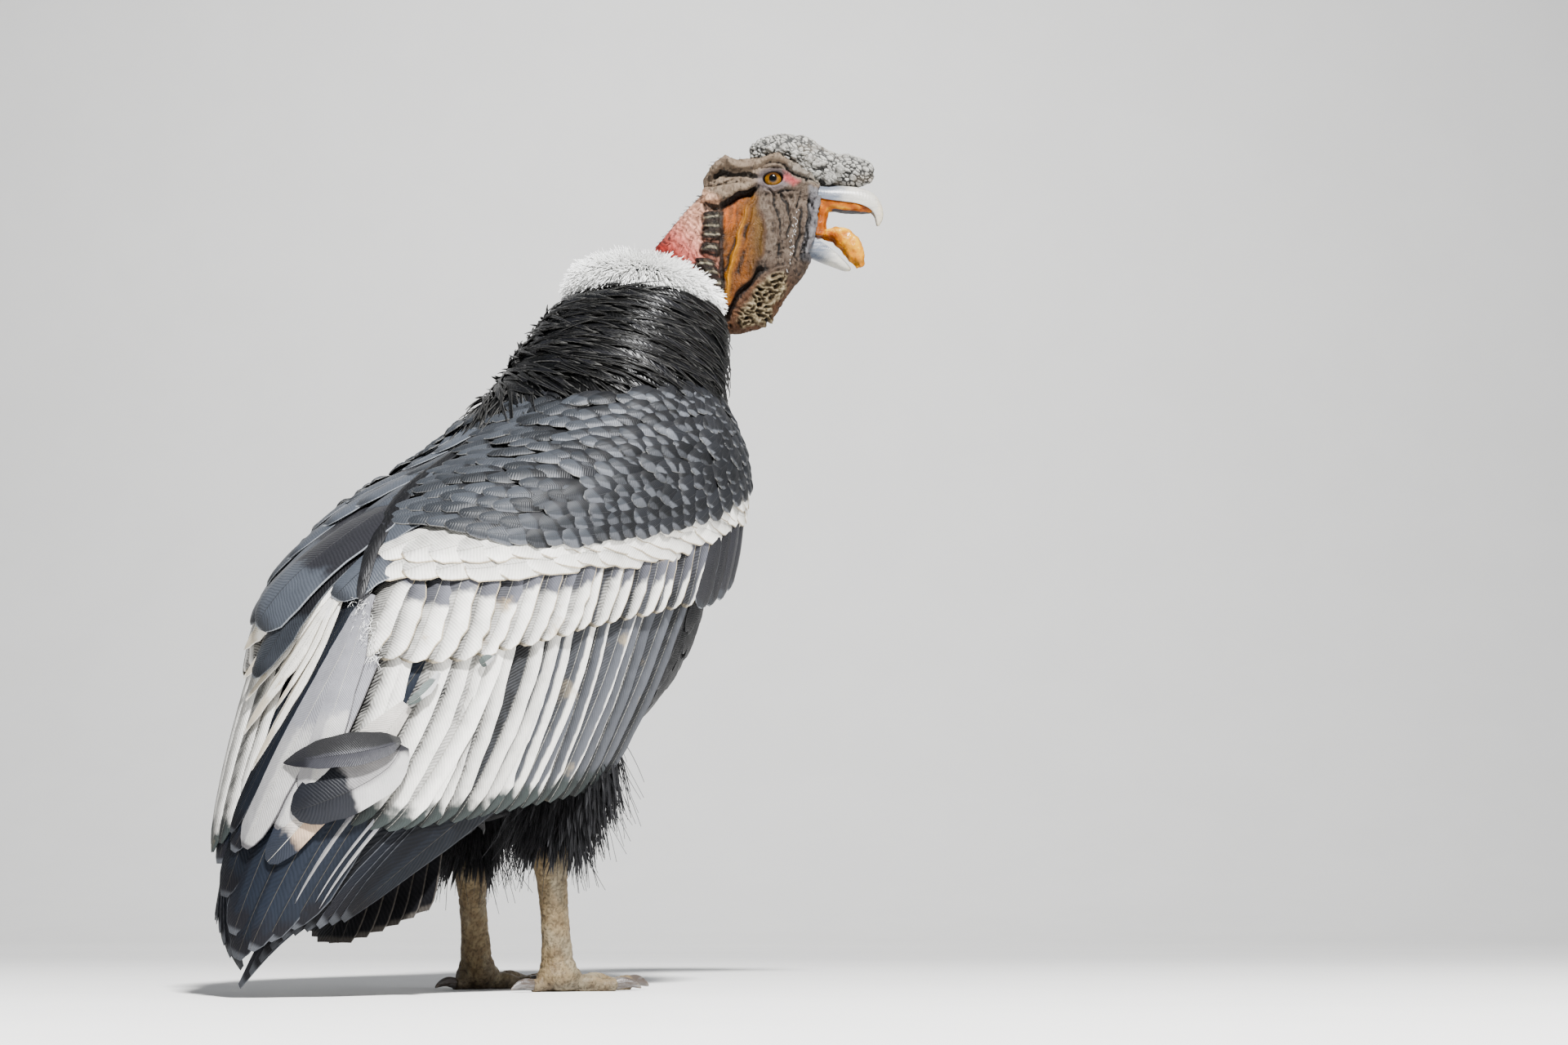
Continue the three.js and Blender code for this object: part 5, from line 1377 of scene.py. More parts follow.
def shape_head(obj):
    """Folds, wrinkles, curls and eye sockets of the bare head, and its colours."""
    at, face = in_head_axes(obj)
    wander = np.stack([grain(at + k, 14) for k in (0, 40)], -1) * 3.2
    x, z = at[:, 0] + wander[:, 0], at[:, 2] + wander[:, 1]
    y = np.abs(at[:, 1])
    rise = np.zeros(len(at))
    for height, width, line in FOLDS:
        rise += FOLD_HEIGHT * fold_at(height, width, line, x, z)
    rise *= smooth(y, 4, 14)
    field = within(CHIN_FIELD, x, z, 3)
    crumple = 1 - np.abs(grain(at * [1, 1, 1.3] + 1.2 * wander[:, :1], 5.2)) * 3.2
    crumple = crumple + 0.5 * grain(at, 3)
    rise += field * (1.2 + 3.4 * crumple)
    nape = within(NAPE, at[:, 0], at[:, 2], 4)
    reach = at[:, 0] * -0.78 + at[:, 2] * -0.62
    rings = np.sin(reach * 1.25 + 5 * grain(at, 9) + 2.2 * grain(at, 26))
    rise += nape * (0.42 * rings + 0.5 * grain(at, 6))
    fine = 1 - np.abs(grain(at * [1.6, 1, 0.8], 4.2)) * 2.6
    rise += (1 - nape) * (1 - field) * fine * (1 - 0.6 * within(GOLD_PANEL, x, z, 3))
    brow = grain(at * [0.8, 1, 1.7], 6)
    rise += 0.8 * within(BROW_SKIN, x, z, 3) * (1 - np.abs(brow) * 2.4)

    tip = LIDS["tip"] * DEG
    dx, dz = at[:, 0], at[:, 2] - LIDS["z"]
    u, v = dx * math.cos(tip) + dz * math.sin(tip), dz * math.cos(tip) - dx * math.sin(tip)
    open_at = np.hypot(u / EYE_OPENING[0], v / EYE_OPENING[1]) + 9 * (y < 15)
    rise *= smooth(open_at, 1.2, 2.2)
    curls, rolls = np.zeros(len(at)), np.zeros(len(at))
    for a, b in CURLS:
        dz = at[:, 2] - b + 0.8 * wander[:, 1]
        here = np.exp(-(((at[:, 0] - a) / 10) ** 6) - ((dz / 5.6) ** 6)) * smooth(y, 20, 25)
        groove = 0.6 * np.exp(-(((dz - 1) / 0.8) ** 2))
        rolls = np.maximum(rolls, here * (0.5 + 0.5 * np.cos(dz * math.pi / 4.6)) * (1 - groove))
        curls = np.maximum(curls, here)
    moved = at + face * rise[:, None]
    sunk = mix(24.5, np.abs(moved[:, 1]), smooth(open_at, 0.92, 1.12))
    moved[:, 1] = np.where(open_at < 1.12, np.sign(at[:, 1]) * sunk, moved[:, 1])
    set_points(obj, in_head(moved))

    panel = within(GOLD_PANEL, x, z, 3.5)
    gold = mix(np.array([0.13, 0.038, 0.0]), np.array([0.07, 0.034, 0.004]), smooth(x, -30, -12)[:, None])
    streaks = smooth(grain(at * [2.4, 1, 0.5], 9), 0.05, 0.4)
    ridge = np.exp(-((gap_to(GOLD_LINE, x, z) / 2.4) ** 2))
    near_eye = np.exp(-((np.maximum(open_at - 1, 0) / 0.75) ** 2))
    lids = np.exp(-(((open_at - 1.35) / 0.5) ** 2))
    attribute(obj, "tone", painted(len(at), (0.068, 0.049, 0.035), [
        (smooth(-z, 60, 100) * 0.6, (0.06, 0.04, 0.028)),
        (0.9 * smooth(-z, 92, 116), (0.07, 0.034, 0.016)),
        (smooth(fine, 0.2, 0.9) * (z > -92) * 0.5, (0.13, 0.1, 0.077)),
        (within(BROW_SKIN, x, z, 4), (0.155, 0.115, 0.08)),
        (within(FOREHEAD, x, z, 5) * 0.8, (0.17, 0.155, 0.13)),
        (panel, gold),
        (panel * within(HOT_CORNER, x, z, 7), (0.27, 0.06, 0.003)),
        (panel * streaks * 0.6, (0.07, 0.028, 0.006)),
        # Painted shade along both edges of the gold panel
        ((1 - np.abs(2 * panel - 1)) * 0.7, (0.05, 0.022, 0.01)),
        (ridge * smooth(-z, 24, 60) * 0.8, (0.36, 0.15, 0.008)),
        (nape, neck_tone(reach)),
        (within(LOW_THROAT, x, z, 3) * smooth(y, -1, 6) * 0.8, (0.07, 0.028, 0.01)),
        # The chin field is dark in its creases and pale on its crumpled ridges: painted shade and painted
        # highlight
        (field * 0.9, (0.06, 0.042, 0.02)),
        (field * smooth(crumple, 0, 1.3), (0.3, 0.245, 0.145)),
        (curls * 0.95, (0.055, 0.04, 0.024)),
        (smooth(rolls, 0.2, 0.95), (0.24, 0.215, 0.15)),
        (within(BARE_LIP, x, z, 3) * 0.85, (0.115, 0.115, 0.125)),
        (near_eye * 0.75, (0.13, 0.11, 0.125)),
        (within(PINK_PATCH, x, z, 3) * smooth(y, 10, 16) * 0.8, (0.36, 0.04, 0.045)),
        (lids * smooth(v, -1, 3) * 0.9, (0.03, 0.022, 0.02)),
        # Painted shade: near black inside the eye opening, round the eyeball
        (smooth(-open_at, -1.16, -1.02), (0.012, 0.009, 0.009)),
    ]))
    # relief also sets how much painted shade the skin's creases get
    attribute(obj, "relief", np.clip(0.54 + rise * 0.23 - 0.5 * curls * (1 - rolls), 0, 1))
    attribute(obj, "gloss", np.clip(panel + 0.4 * near_eye, 0, 1))
    return {"at": moved, "face": face, "nape": nape, "x": x, "z": z, "y": y, "open": open_at}


head_core = melted("core", head_parts(), voxel=2.5)
head_skin = melted("skin", head_parts() + curl_parts(head_core), voxel=1.25)
bpy.data.objects.remove(head_core)
head_marks = shape_head(head_skin)

HIP = np.array([8.0, 70, 262])
HOCK = np.array([-10.0, 62, 132])
ANKLE = np.array([-1.0, 62, 24])
THIGH = [
    [*(HIP + [6, 0, 24]), 30, 40], [*(HIP + [0, 0, -14]), 38, 48], [*(HIP + [-8, -3, -52]), 33, 41],
    [*(HIP + [-15, -6, -84]), 25, 30], [*(HOCK + [-4, 0, 22]), 18, 21], [*(HOCK + [-2, 0, 2]), 14, 15],
]
TARSUS = [
    [*(HOCK + [-3, 0, 14]), 13, 12], [*(HOCK + [-2, 0, -4]), 16.5, 18.5],
    [*(HOCK + [0, 0, -20]), 14.5, 16.5], [-7, 62, 84, 12.5, 14.5], [-4, 62, 56, 12.5, 14.5],
    [-2, 62, 36, 14.5, 15.5], [*(ANKLE + [0, 0, -6]), 15, 16],
]
ANKLE_RINGS = [[*(ANKLE + [0, 0, 3.5]), 17, 17], [*(ANKLE + [1, 0, -12]), 19, 20]]
# Heading in degrees, length, half width and half height of each toe
TOES = [(4, 88, 10.5, 10), (30, 58, 9.5, 9), (-27, 56, 9.5, 9), (184, 30, 8.5, 8.5)]
TOE_NAMES = ("middle", "outer", "inner", "hind")


def toe_rows(side, toe, steps=16):
    turn, length, half, high = toe
    heading = turn * side * DEG
    t = np.linspace(0, 1, steps)
    reach = mix(6, length, t)
    slim = mix(1, 0.68, t) * (1 + 0.12 * np.cos(t * 4 * math.pi))
    return np.stack([
        ANKLE[0] + math.cos(heading) * reach, ANKLE[1] * side + math.sin(heading) * reach,
        high * slim * 0.86 + 3 * np.exp(-t * 5), half * slim, high * slim,
    ], -1)


def toe_across(side, toe):
    turn = toe[0] * side * DEG
    return np.array([-math.sin(turn), math.cos(turn), 0])


def leg_parts():
    parts = []
    for side in (RIGHT, LEFT):
        parts.append(limb_rings(fuller(on_side(TARSUS, side), 30), LEFTWARD, 24))
        parts.append(egg((ANKLE[0] + 2, ANKLE[1] * side, 13), (24, 20, 15)))
        parts.append(limb_rings(on_side(ANKLE_RINGS, side), LEFTWARD, 24))
        for toe in TOES:
            parts.append(limb_rings(toe_rows(side, toe, 30), toe_across(side, toe), 20))
    return [closed_rings(rings) for rings in parts]


leg_skin = melted("leg_skin", leg_parts(), voxel=1.9)


def arm_rings(side):
    """The arm under the wing's feathers: closed rings from the spine side to the breast side."""
    rings = []
    for p in np.linspace(0, 1, 24):
        q = np.linspace(0, 1, 14)
        height = mix(mix(566, 592, p), mix(374, 436, p), q)
        angle = wing_angle(side, p, height)
        down_edge = np.abs(2 * q - 1) ** 6
        fade = np.sqrt(max(0, 1 - abs(2 * p - 1) ** 8) * np.maximum(0, 1 - down_edge))
        at, _, _, out, _, _ = cloak.axes(side, angle, height)
        outer = at + out * (-12 + 3 * fade)[:, None]
        inner = at - out * (13 + 12 * fade)[:, None]
        rings.append(np.concatenate([outer, inner[::-1]]))
    return np.stack(rings)


TAIL_ROOT = [
    [-84, 0, 358, 32, 18], [-100, 0, 332, 44, 25], [-116, 0, 296, 48, 25], [-134, 0, 252, 58, 19],
    [-146, 0, 218, 54, 8],
]
RUFF = {"at": np.array([161.0, -1, 728]), "r": 84, "high": 36, "tip": 9}


def ruff_turned(points):
    tip = RUFF["tip"] * DEG
    x, y, z = np.moveaxis(np.asarray(points, float), -1, 0)
    return RUFF["at"] + np.stack(
        [x * math.cos(tip) + z * math.sin(tip), y, -x * math.sin(tip) + z * math.cos(tip)], -1
    )


def body_parts():
    heights = np.linspace(TRUNK[0, 0], TRUNK[-1, 0], 60)
    turn = np.linspace(-math.pi, math.pi, 48, endpoint=False)
    trunk_rings = np.stack([
        trunk.point(np.where(turn < 0, -1, 1), np.abs(turn), np.full(48, h)) for h in heights
    ])
    middle = np.stack([along(TRUNK, 1, heights), 0 * heights, heights], -1)[:, None]
    parts = [middle + (trunk_rings - middle) * 0.975, limb_rings(fuller(TAIL_ROOT, 16), LEFTWARD, 24)]
    parts += [arm_rings(side) for side in (RIGHT, LEFT)]
    parts += [limb_rings(fuller(on_side(THIGH, side), 24), LEFTWARD, 24) for side in (RIGHT, LEFT)]
    parts.append(ruff_turned(egg((0, 0, 0), (RUFF["r"] - 12, RUFF["r"] - 14, RUFF["high"] - 10), 20, 36)))
    return [closed_rings(rings) for rings in parts]


body_skin = melted("body_skin", body_parts(), voxel=7)


def ruff_down():
    """Fine strands that rise from the ruff's dome and fall softly outwards."""
    roll = np.random.default_rng(77)
    count = 9400
    turn = roll.uniform(0, 2 * math.pi, count)
    lift = np.arccos(roll.uniform(-0.42, 0.985, count))
    out = np.stack([np.sin(lift) * np.cos(turn), np.sin(lift) * np.sin(turn), np.cos(lift)], -1)
    half = np.array([RUFF["r"] - 13, RUFF["r"] - 15, RUFF["high"] - 12])
    base = ruff_turned(out * half)
    tilt = unit(ruff_turned(out / half) - RUFF["at"])
    clump = np.stack([grain(base + k, 16) for k in (0, 90, 180)], -1)
    fall = tilt * 0.8 + [0, 0, -0.5] * np.sin(lift[:, None]) ** 2 + clump * 0.4
    fall += out * [1, 1, 0] * 0.5 + roll.normal(0, 0.16, (count, 3))
    made = blades(
        "ruff_down", "down", down_look, "strand", 4, HAIR, 0.6, roll, base, tilt, fall,
        length=roll.uniform(13, 22, count), width=roll.uniform(1.1, 2.2, count),
        bend=roll.uniform(-4, 2, count), droop=roll.uniform(0, 5, count),
        sway=roll.normal(0, 0.8, count), uv=np.stack([turn / 6.6 + 0.02, 0.74 + np.cos(lift) * 0.05], -1),
    )
    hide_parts("ruff")


ruff_down()


def trousers(side, word):
    """Hair-like feathers of the thigh, and loose wisps that hang past them."""
    roll = np.random.default_rng(60 + side)
    steps = 40
    rows = fuller(on_side(THIGH, side), steps)
    count, wisps = 1500, 520
    at = roll.uniform(0.16, 0.78 if side == RIGHT else 0.88, count)
    place = np.stack([np.interp(at, np.linspace(0, 1, steps), rows[:, c]) for c in range(5)], -1)
    turn = roll.uniform(0, 2 * math.pi, count)
    out = np.stack([np.cos(turn), np.sin(turn), 0 * turn], -1)
    base = place[:, :3] + out * ((place[:, 3] + place[:, 4]) / 2 - 2)[:, None]
    uv = np.stack([0.5 + side * (0.1 + turn / 40), 0.2 + at * 0.1], -1)
    blades(
        "trousers_" + word, "black_feather", black_look, "hackle", 5, LEAF, 0.6, roll, base, out,
        np.array([-0.12, 0, -1.0]) + out * 0.12 + roll.normal(0, 0.08, (count, 3)), uv,
        length=roll.uniform(24, 60, count) ** 1.12 * (1 - 0.45 * at),
        width=roll.uniform(1.2, 6, count), rise=roll.uniform(0, 4, count),
        bend=roll.uniform(-5, 2, count), sway=roll.normal(0, 1.5, count), camber=0.05,
    )
    picked = roll.choice(count, wisps, replace=False)
    blades(
        "trouser_wisps_" + word, "black_feather", black_look, "strand", 6, HAIR, 0.5, roll,
        base[picked], out[picked],
        np.array([-0.1, 0, -1.0]) + out[picked] * 0.3 + roll.normal(0, 0.16, (wisps, 3)), uv[picked],
        length=roll.uniform(36, 82, wisps), width=roll.uniform(0.6, 1.3, wisps),
        bend=roll.uniform(-6, 5, wisps), droop=roll.uniform(0, 6, wisps),
        sway=roll.normal(0, 4, wisps),
    )


for side, word in SIDES:
    trousers(side, word)


# The comb: a fleshy crest of hard grains
COMB = [
    [-17, 0, 17, 6, 5], [-12, 0, 24, 11, 13], [0, 0, 28, 13, 15], [16, 0, 29, 14, 16],
    [30, 0, 25, 14, 17], [42, 0, 16, 14, 17], [54, 0, 11, 13.5, 16.5], [68, 0, 9.5, 13, 16],
    [82, 0, 7.5, 12.5, 14.5], [92, 0, 5, 11, 11.5], [98.5, 0, 3, 6.5, 7],
]
COMB_LUMPS = [
    (29, 10, 6.5), (42, 4, 6.5), (57, 0, 6.5), (37, 17, 5), (47, 12, 4), (22, 22, 5), (10, 27, 4.5),
    (-3, 27, 5), (66, 7, 4.5), (50, -3, 4.5), (36, -2, 4), (27, 2, 4),
]


def comb_skin():
    table = np.array(COMB, float)
    parts = [head_limb(COMB, 34, 36)]
    for side in (RIGHT, LEFT):
        for x, z, r in COMB_LUMPS:
            middle, wide, high = (along(table, c, x) for c in (2, 3, 4))
            y = wide * math.sqrt(max(0.1, 1 - ((z - middle) / high) ** 2))
            parts.append(in_head(egg((x, (y - 1.5) * side, z), (r * 1.1, 4.2, r), 10, 16)))
    obj = melted("comb_skin", [closed_rings(rings) for rings in parts], voxel=1.15)
    at, face = in_head_axes(obj)
    x, z, y = at[:, 0], at[:, 2], np.abs(at[:, 1])
    moved = at + 1.6 * np.stack([grain(at + k, 9) for k in (0, 30, 60)], -1)
    slant = np.array([[0.87, 0, 0.5], [0, 1, 0], [-0.5, 0, 0.87]])
    large = cracks(moved @ slant * [0.62, 1, 1.2], 4.2, 0.3)
    small = cracks(moved + 17, 2.6, 0.2)
    lumps = sum(np.exp(-(((x - a) ** 2 + (z - b) ** 2) / (r * r))) for a, b, r in COMB_LUMPS)
    lumps = np.clip(lumps * smooth(y, 4, 9), 0, 1)
    dents = 1 - np.abs(grain(at * [1, 1, 1.6], 16)) * 3
    rise = 2.3 * (large - 0.7) * (1 - 0.5 * lumps) + 0.35 * (small - 0.5) + 0.9 * dents + 1.3 * lumps
    nostril = np.exp(-(((x - 47) / 4.5) ** 2 + ((z + 6.5) / 2.4) ** 2)) * smooth(y, 3, 8)
    rise -= 5 * nostril
    notch = np.exp(-((gap_to([(18, 5), (30, -1), (40, 6), (52, 8)], x, z) / 2.0) ** 2)) * smooth(y, 3, 8)
    rise -= 1.8 * notch
    set_points(obj, in_head(at + face * rise[:, None]))
    relief = 0.1 + 0.58 * large * (0.75 + 0.25 * small) + 0.3 * lumps - nostril - 0.4 * notch
    attribute(obj, "relief", np.clip(relief, 0, 1))
    return obj


# Bills are gutters: a rounded outer side, cutting edges and a hollow inner side
UPPER_BILL = [
    [40, 0, -16, 11, 8.5], [54, 0, -18, 12, 10.5], [68, 0, -19, 11.5, 12], [82, 0, -20.5, 10.5, 12],
    [92, 0, -23.5, 9, 11.5], [98.6, 0, -28.5, 7.4, 9.2], [102.4, 0, -34.5, 5.6, 6.6],
    [103.4, 0, -41, 4, 4.6], [102.6, 0, -47.5, 1.4, 1.6],
]
LOWER_BILL = [
    [30, 0, -62, 12, 12], [42, 0, -70, 11.5, 11], [54, 0, -77, 10, 9.5], [64, 0, -83.5, 8, 7],
    [72, 0, -89, 5.2, 4.4], [76.5, 0, -91.5, 1.8, 1.5],
]
BILL_RINGS, BILL_ARC = 30, 26


def gutter(rows, open_up, depth, edge):
    """Rings of a bill; depth and edge are how far its hollow and its cutting edges go, as shares."""
    rows = fuller(rows, BILL_RINGS)
    forward = unit(np.gradient(rows[:, :3], axis=0))
    up = unit(np.cross(forward, LEFTWARD))
    up = up * np.sign(up[0, 2]) * (1 if open_up else -1)
    a = np.linspace(-35, 215, BILL_ARC) * DEG
    low = np.maximum(0, -np.sin(a)) / math.sin(35 * DEG)
    outer_u = np.where(np.sin(a) < 0, np.sign(np.cos(a)) * (1 - 0.06 * low), np.cos(a))
    outer_v = np.where(np.sin(a) < 0, -edge * low, np.sin(a))
    s = np.linspace(0, 1, 14)[1:-1]
    inner_u = mix(outer_u[-1], outer_u[0], s) * 0.93
    bowl = (1 - (2 * s - 1) ** 2) ** 0.55
    u = np.concatenate([outer_u, inner_u])
    rings = []
    for k, row in enumerate(rows):
        deep = depth * smooth(k / (BILL_RINGS - 1), 1.0, 0.72)
        v = np.concatenate([outer_v, -edge + (edge + deep) * bowl])
        # The outer side turns away from the opening
        rings.append(row[:3] + u[:, None] * [0, row[3], 0] - up[k] * (v * row[4])[:, None])
    return np.stack(rings)


TONGUE = [
    [40, 0, -50, 5, 4], [48, 0, -55, 6.5, 4.5], [55, 0, -56.5, 8, 6], [61, 0, -57, 9, 8.5],
    [69, 0, -60, 9.5, 10.8], [76, 0, -66.5, 9.5, 11], [81, 0, -76, 9, 9.6], [84.5, 0, -84.5, 6.5, 6.4],
    [85.5, 0, -89.5, 3, 3],
]
MOUTH = [[48, 0, -20, 9.8, 8], [47.5, 0, -32, 9.4, 7], [46, 0, -44, 9.4, 7], [44, 0, -58, 9.8, 9]]
PALATE = [
    [40, 0, -24, 9, 8], [54, 0, -24, 10.2, 8.5], [68, 0, -25, 9.8, 9], [82, 0, -26.5, 8.6, 8.6],
    [91, 0, -28.5, 6.6, 7], [97.5, 0, -32, 3.4, 3.4],
]


def tongue_skin():
    obj = melted("tongue_skin", [closed_rings(head_limb(TONGUE, 40, 28))], voxel=0.9)
    at, face = in_head_axes(obj)
    y = np.abs(at[:, 1])
    upward = face[:, 2] + 0.8 * face[:, 0]
    groove = np.exp(-((y / 2.2) ** 2)) * smooth(upward, 0.3, 0.9)
    rim = np.exp(-(((y - 7.5) / 2) ** 2)) * smooth(upward, 0, 0.8)
    lumps = grain(at, 7) * 1.5 + grain(at * [1.5, 1, 1], 3.2) * 0.5
    under = np.exp(-(((y - 4) / 2.5) ** 2)) * smooth(-upward, 0.3, 0.9)
    rise = 1.1 * rim - 1.6 * groove + lumps - 1.2 * under
    set_points(obj, in_head(at + face * rise[:, None]))
    attribute(obj, "relief", np.clip(0.55 + 0.22 * rise, 0, 1))
    root = np.array(TONGUE)[:2, [0, 2]]
    attribute(obj, "reach", smooth(gap_to(root, at[:, 0], at[:, 2]), 2, 40))
    return obj


def mouth_skin():
    """The back of the open mouth and the palate that fills the upper bill."""
    parts = [closed_rings(head_limb(rows, 24, 28)) for rows in (MOUTH, PALATE)]
    obj = melted("mouth_skin", parts, voxel=1.1)
    at, face = in_head_axes(obj)
    folds = np.sin(at[:, 1] * 1.5 + 3 * grain(at, 7))
    rise = 0.25 * folds + grain(at * [0.6, 1, 0.6], 5) * 0.9
    set_points(obj, in_head(at + face * rise[:, None]))
    attribute(obj, "relief", np.clip(0.5 + 0.3 * rise, 0, 1))
    # Painted shade: a reach below 0 makes the palate's underside towards the tip near black, for the far
    # cutting edge in shadow
    edge = smooth(-face[:, 2], 0.72, 0.95) * smooth(at[:, 0], 54, 62) * (at[:, 2] > -40)
    attribute(obj, "reach", 0.1 - edge)
    return obj


def make_eye(side, word):
    """An eyeball whose own map gives the place on the iris."""
    bpy.ops.object.select_all(action="DESELECT")
    bpy.ops.mesh.primitive_uv_sphere_add(segments=48, ring_count=32, radius=EYE_RADIUS * MM)
    obj = bpy.context.object
    obj.name = "eyeball_" + word
    bpy.ops.object.mode_set(mode="EDIT")
    bpy.ops.mesh.select_all(action="SELECT")
    bpy.ops.transform.rotate(value=math.pi / 2, orient_axis="X", center_override=(0, 0, 0))
    bpy.ops.object.mode_set(mode="OBJECT")
    ball = points_of(obj) + SHIFT
    around = np.hypot(ball[:, 0], ball[:, 2])
    # The clear front bulges over the iris
    bulge = 0.7 * (1 - smooth(around, 3, 6.5)) * (ball[:, 1] * side > 0)
    iris = ball[:, [0, 2]] / EYE_RADIUS
    ball[:, 1] = ball[:, 1] * 0.7 + bulge * side
    set_points(obj, in_head(ball + EYE * [1, side, 1]))
    uv = obj.data.uv_layers.new(name="iris")
    corner = np.empty(len(obj.data.loops), int)
    obj.data.loops.foreach_get("vertex_index", corner)
    uv.data.foreach_set("uv", iris[corner].ravel())
    finish(obj, "eye", eye_look)
    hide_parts("eye_" + word)


def claw_rows(side, toe):
    heading = toe[0] * side * DEG
    end = toe_rows(side, toe)[-1]
    path = [
        [-7, 0, 0.9], [2, 1.6, 1.02], [9, 2.6, 0.94], [15, 1.7, 0.74], [21, -0.6, 0.48],
        [25.5, -3.2, 0.12],
    ]
    return np.array([
        [end[0] + math.cos(heading) * reach, end[1] + math.sin(heading) * reach, end[2] + up,
         end[3] * 0.66 * size, end[4] * 0.84 * size] for reach, up, size in path
    ])


def shape_legs(obj):
    """Broad plates down the front of the leg and over the toes, small scales elsewhere."""
    at = points_of(obj)
    face = normals_of(obj)
    plates, nearest = np.zeros(len(at)), np.full(len(at), 1e9)
    for side in (RIGHT, LEFT):
        for toe in TOES:
            heading = toe[0] * side * DEG
            dx, dy = at[:, 0] - ANKLE[0], at[:, 1] - ANKLE[1] * side
            reach = dx * math.cos(heading) + dy * math.sin(heading)
            off = np.abs(dy * math.cos(heading) - dx * math.sin(heading)) + 99 * (reach < 8)
            closer = off < nearest
            plates = np.where(closer, (reach / 6.4) % 1, plates)
            nearest = np.minimum(nearest, off)
    toes = (at[:, 2] < 27) & (nearest < 14)
    on_toe = smooth(face[:, 2], 0.25, 0.6) * toes
    on_shank = smooth(face[:, 0], 0.3, 0.62) * (at[:, 2] > 27)
    step = (at[:, 2] / 8.2 + 0.12 * grain(at, 20)) % 1
    plate = np.where(toes, plates, step)
    ridge = smooth(plate, 0, 0.16) * (1 - 0.35 * plate)
    weight = np.where(toes, on_toe, on_shank)
    scales = cracks(at + 1.5 * grain(at, 12)[:, None], 4.4)
    relief = mix(scales * 0.8, ridge, weight)
    rise = 1.25 * (relief - 0.5) + 0.5 * grain(at, 11)
    moved = at + face * rise[:, None]
    moved[:, 2] = np.maximum(moved[:, 2], 0.2)
    set_points(obj, moved)
    attribute(obj, "tone", painted(len(at), (0.19, 0.14, 0.075), [
        (smooth(grain(at, 26), 0, 0.4) * 0.5, (0.12, 0.095, 0.06)),
        (smooth(grain(at * [1, 1, 0.5], 17), 0.1, 0.4) * 0.4, (0.26, 0.23, 0.16)),
        (smooth(-at[:, 2], -14, -3) * 0.5, (0.09, 0.075, 0.055)),
    ]))
    attribute(obj, "relief", np.clip(relief, 0, 1))
    attribute(obj, "gloss", np.full(len(at), 0.25))


def skin_material(name, roughness, scale, depth, crease_shade, wrinkles):
    """Bare skin: its zones come from the mesh, its grain and creases from the shader, with painted shade in
    the creases.
    """
    made, s, surface = material(name, roughness, Specular_IOR_Level=0.17)
    tone = s.add("Attribute", attribute_name="tone").outputs["Color"]
    relief, gloss, place = s.mark("relief"), s.mark("gloss"), s.place()
    mottle = s.group(MOTTLE, Color=tone, Second=s.blend(1.0, tone, (0.62, 0.58, 0.56), "MULTIPLY"),
                     Scale=120.0, Relief=relief, Crease=crease_shade)
    specks = s.rise(s.noise(place, 900, 2), 0.6, 0.7)
    color = s.blend(s.times(specks, 0.3), mottle.outputs["Color"], (0.05, 0.04, 0.035))
    s.feed(surface.inputs["Base Color"], color)
    shine = s.plus(roughness, s.times(s.minus(s.noise(place, 400, 2), 0.5), 0.3))
    s.feed(surface.inputs["Roughness"], s.minus(shine, s.times(gloss, 0.2)))
    pebble = s.group(PEBBLE, Scale=scale, Fine=2.2, Depth=0.6)
    lines = s.noise(s.stretched(place, wrinkles), 260, 4, 0.65, 0.6)
    bump(s, surface, s.plus(pebble.outputs["Height"], s.times(lines, 1.4)), depth)
    return made


def comb_material():
    made, s, surface = material("comb_grains", 0.72)
    relief, place = s.mark("relief"), s.place()
    mottle = s.group(
        MOTTLE, Color=(0.34, 0.33, 0.3), Second=(0.17, 0.163, 0.148), Scale=90.0, Relief=relief,
        Crease=0.93,
    )
    stain = s.rise(s.noise(place, 45, 3), 0.55, 0.75)
    color = s.blend(s.times(stain, 0.4), mottle.outputs["Color"], (0.2, 0.16, 0.115))
    s.feed(surface.inputs["Base Color"], color)
    pebble = s.group(PEBBLE, Scale=620.0, Fine=2.0, Depth=1.0)
    bump(s, surface, s.plus(pebble.outputs["Height"], s.noise(place, 500, 3)), 0.0006)
    return made


def horn_material(name, base, middle, tip, edge, roughness):
    """Horn with long streaks, growth lines and a worn tip; reach runs from its root to its tip."""
    made, s, surface = material(name, roughness, Coat_Weight=0.25, Coat_Roughness=0.3)
    reach, rim, place = s.mark("reach"), s.mark("rim"), s.place()
    cloud = s.minus(s.noise(place, 60, 4, 0.6), 0.5)
    at = s.plus(reach, s.times(cloud, 0.35))
    color = s.blend(s.rise(at, 0.2, 0.55), base, middle)
    color = s.blend(s.rise(at, 0.82, 1.0), color, tip)
    streaks = s.noise(s.stretched(place, (0.3, 0.3, 1.6)), 240, 4, 0.6)
    color = s.blend(s.times(s.rise(streaks, 0.46, 0.68), 0.55), color, (0.2, 0.2, 0.2))
    color = s.blend(s.times(rim, 0.8), color, edge)
    s.feed(surface.inputs["Base Color"], color)
    s.feed(surface.inputs["Roughness"], s.plus(roughness - 0.1, s.times(streaks, 0.25)))
    growth = s.math("SINE", s.times(s.plus(reach, s.times(cloud, 0.12)), 130.0))
    bump(s, surface, s.plus(streaks, s.times(growth, 0.12)), 0.0005)
    return made


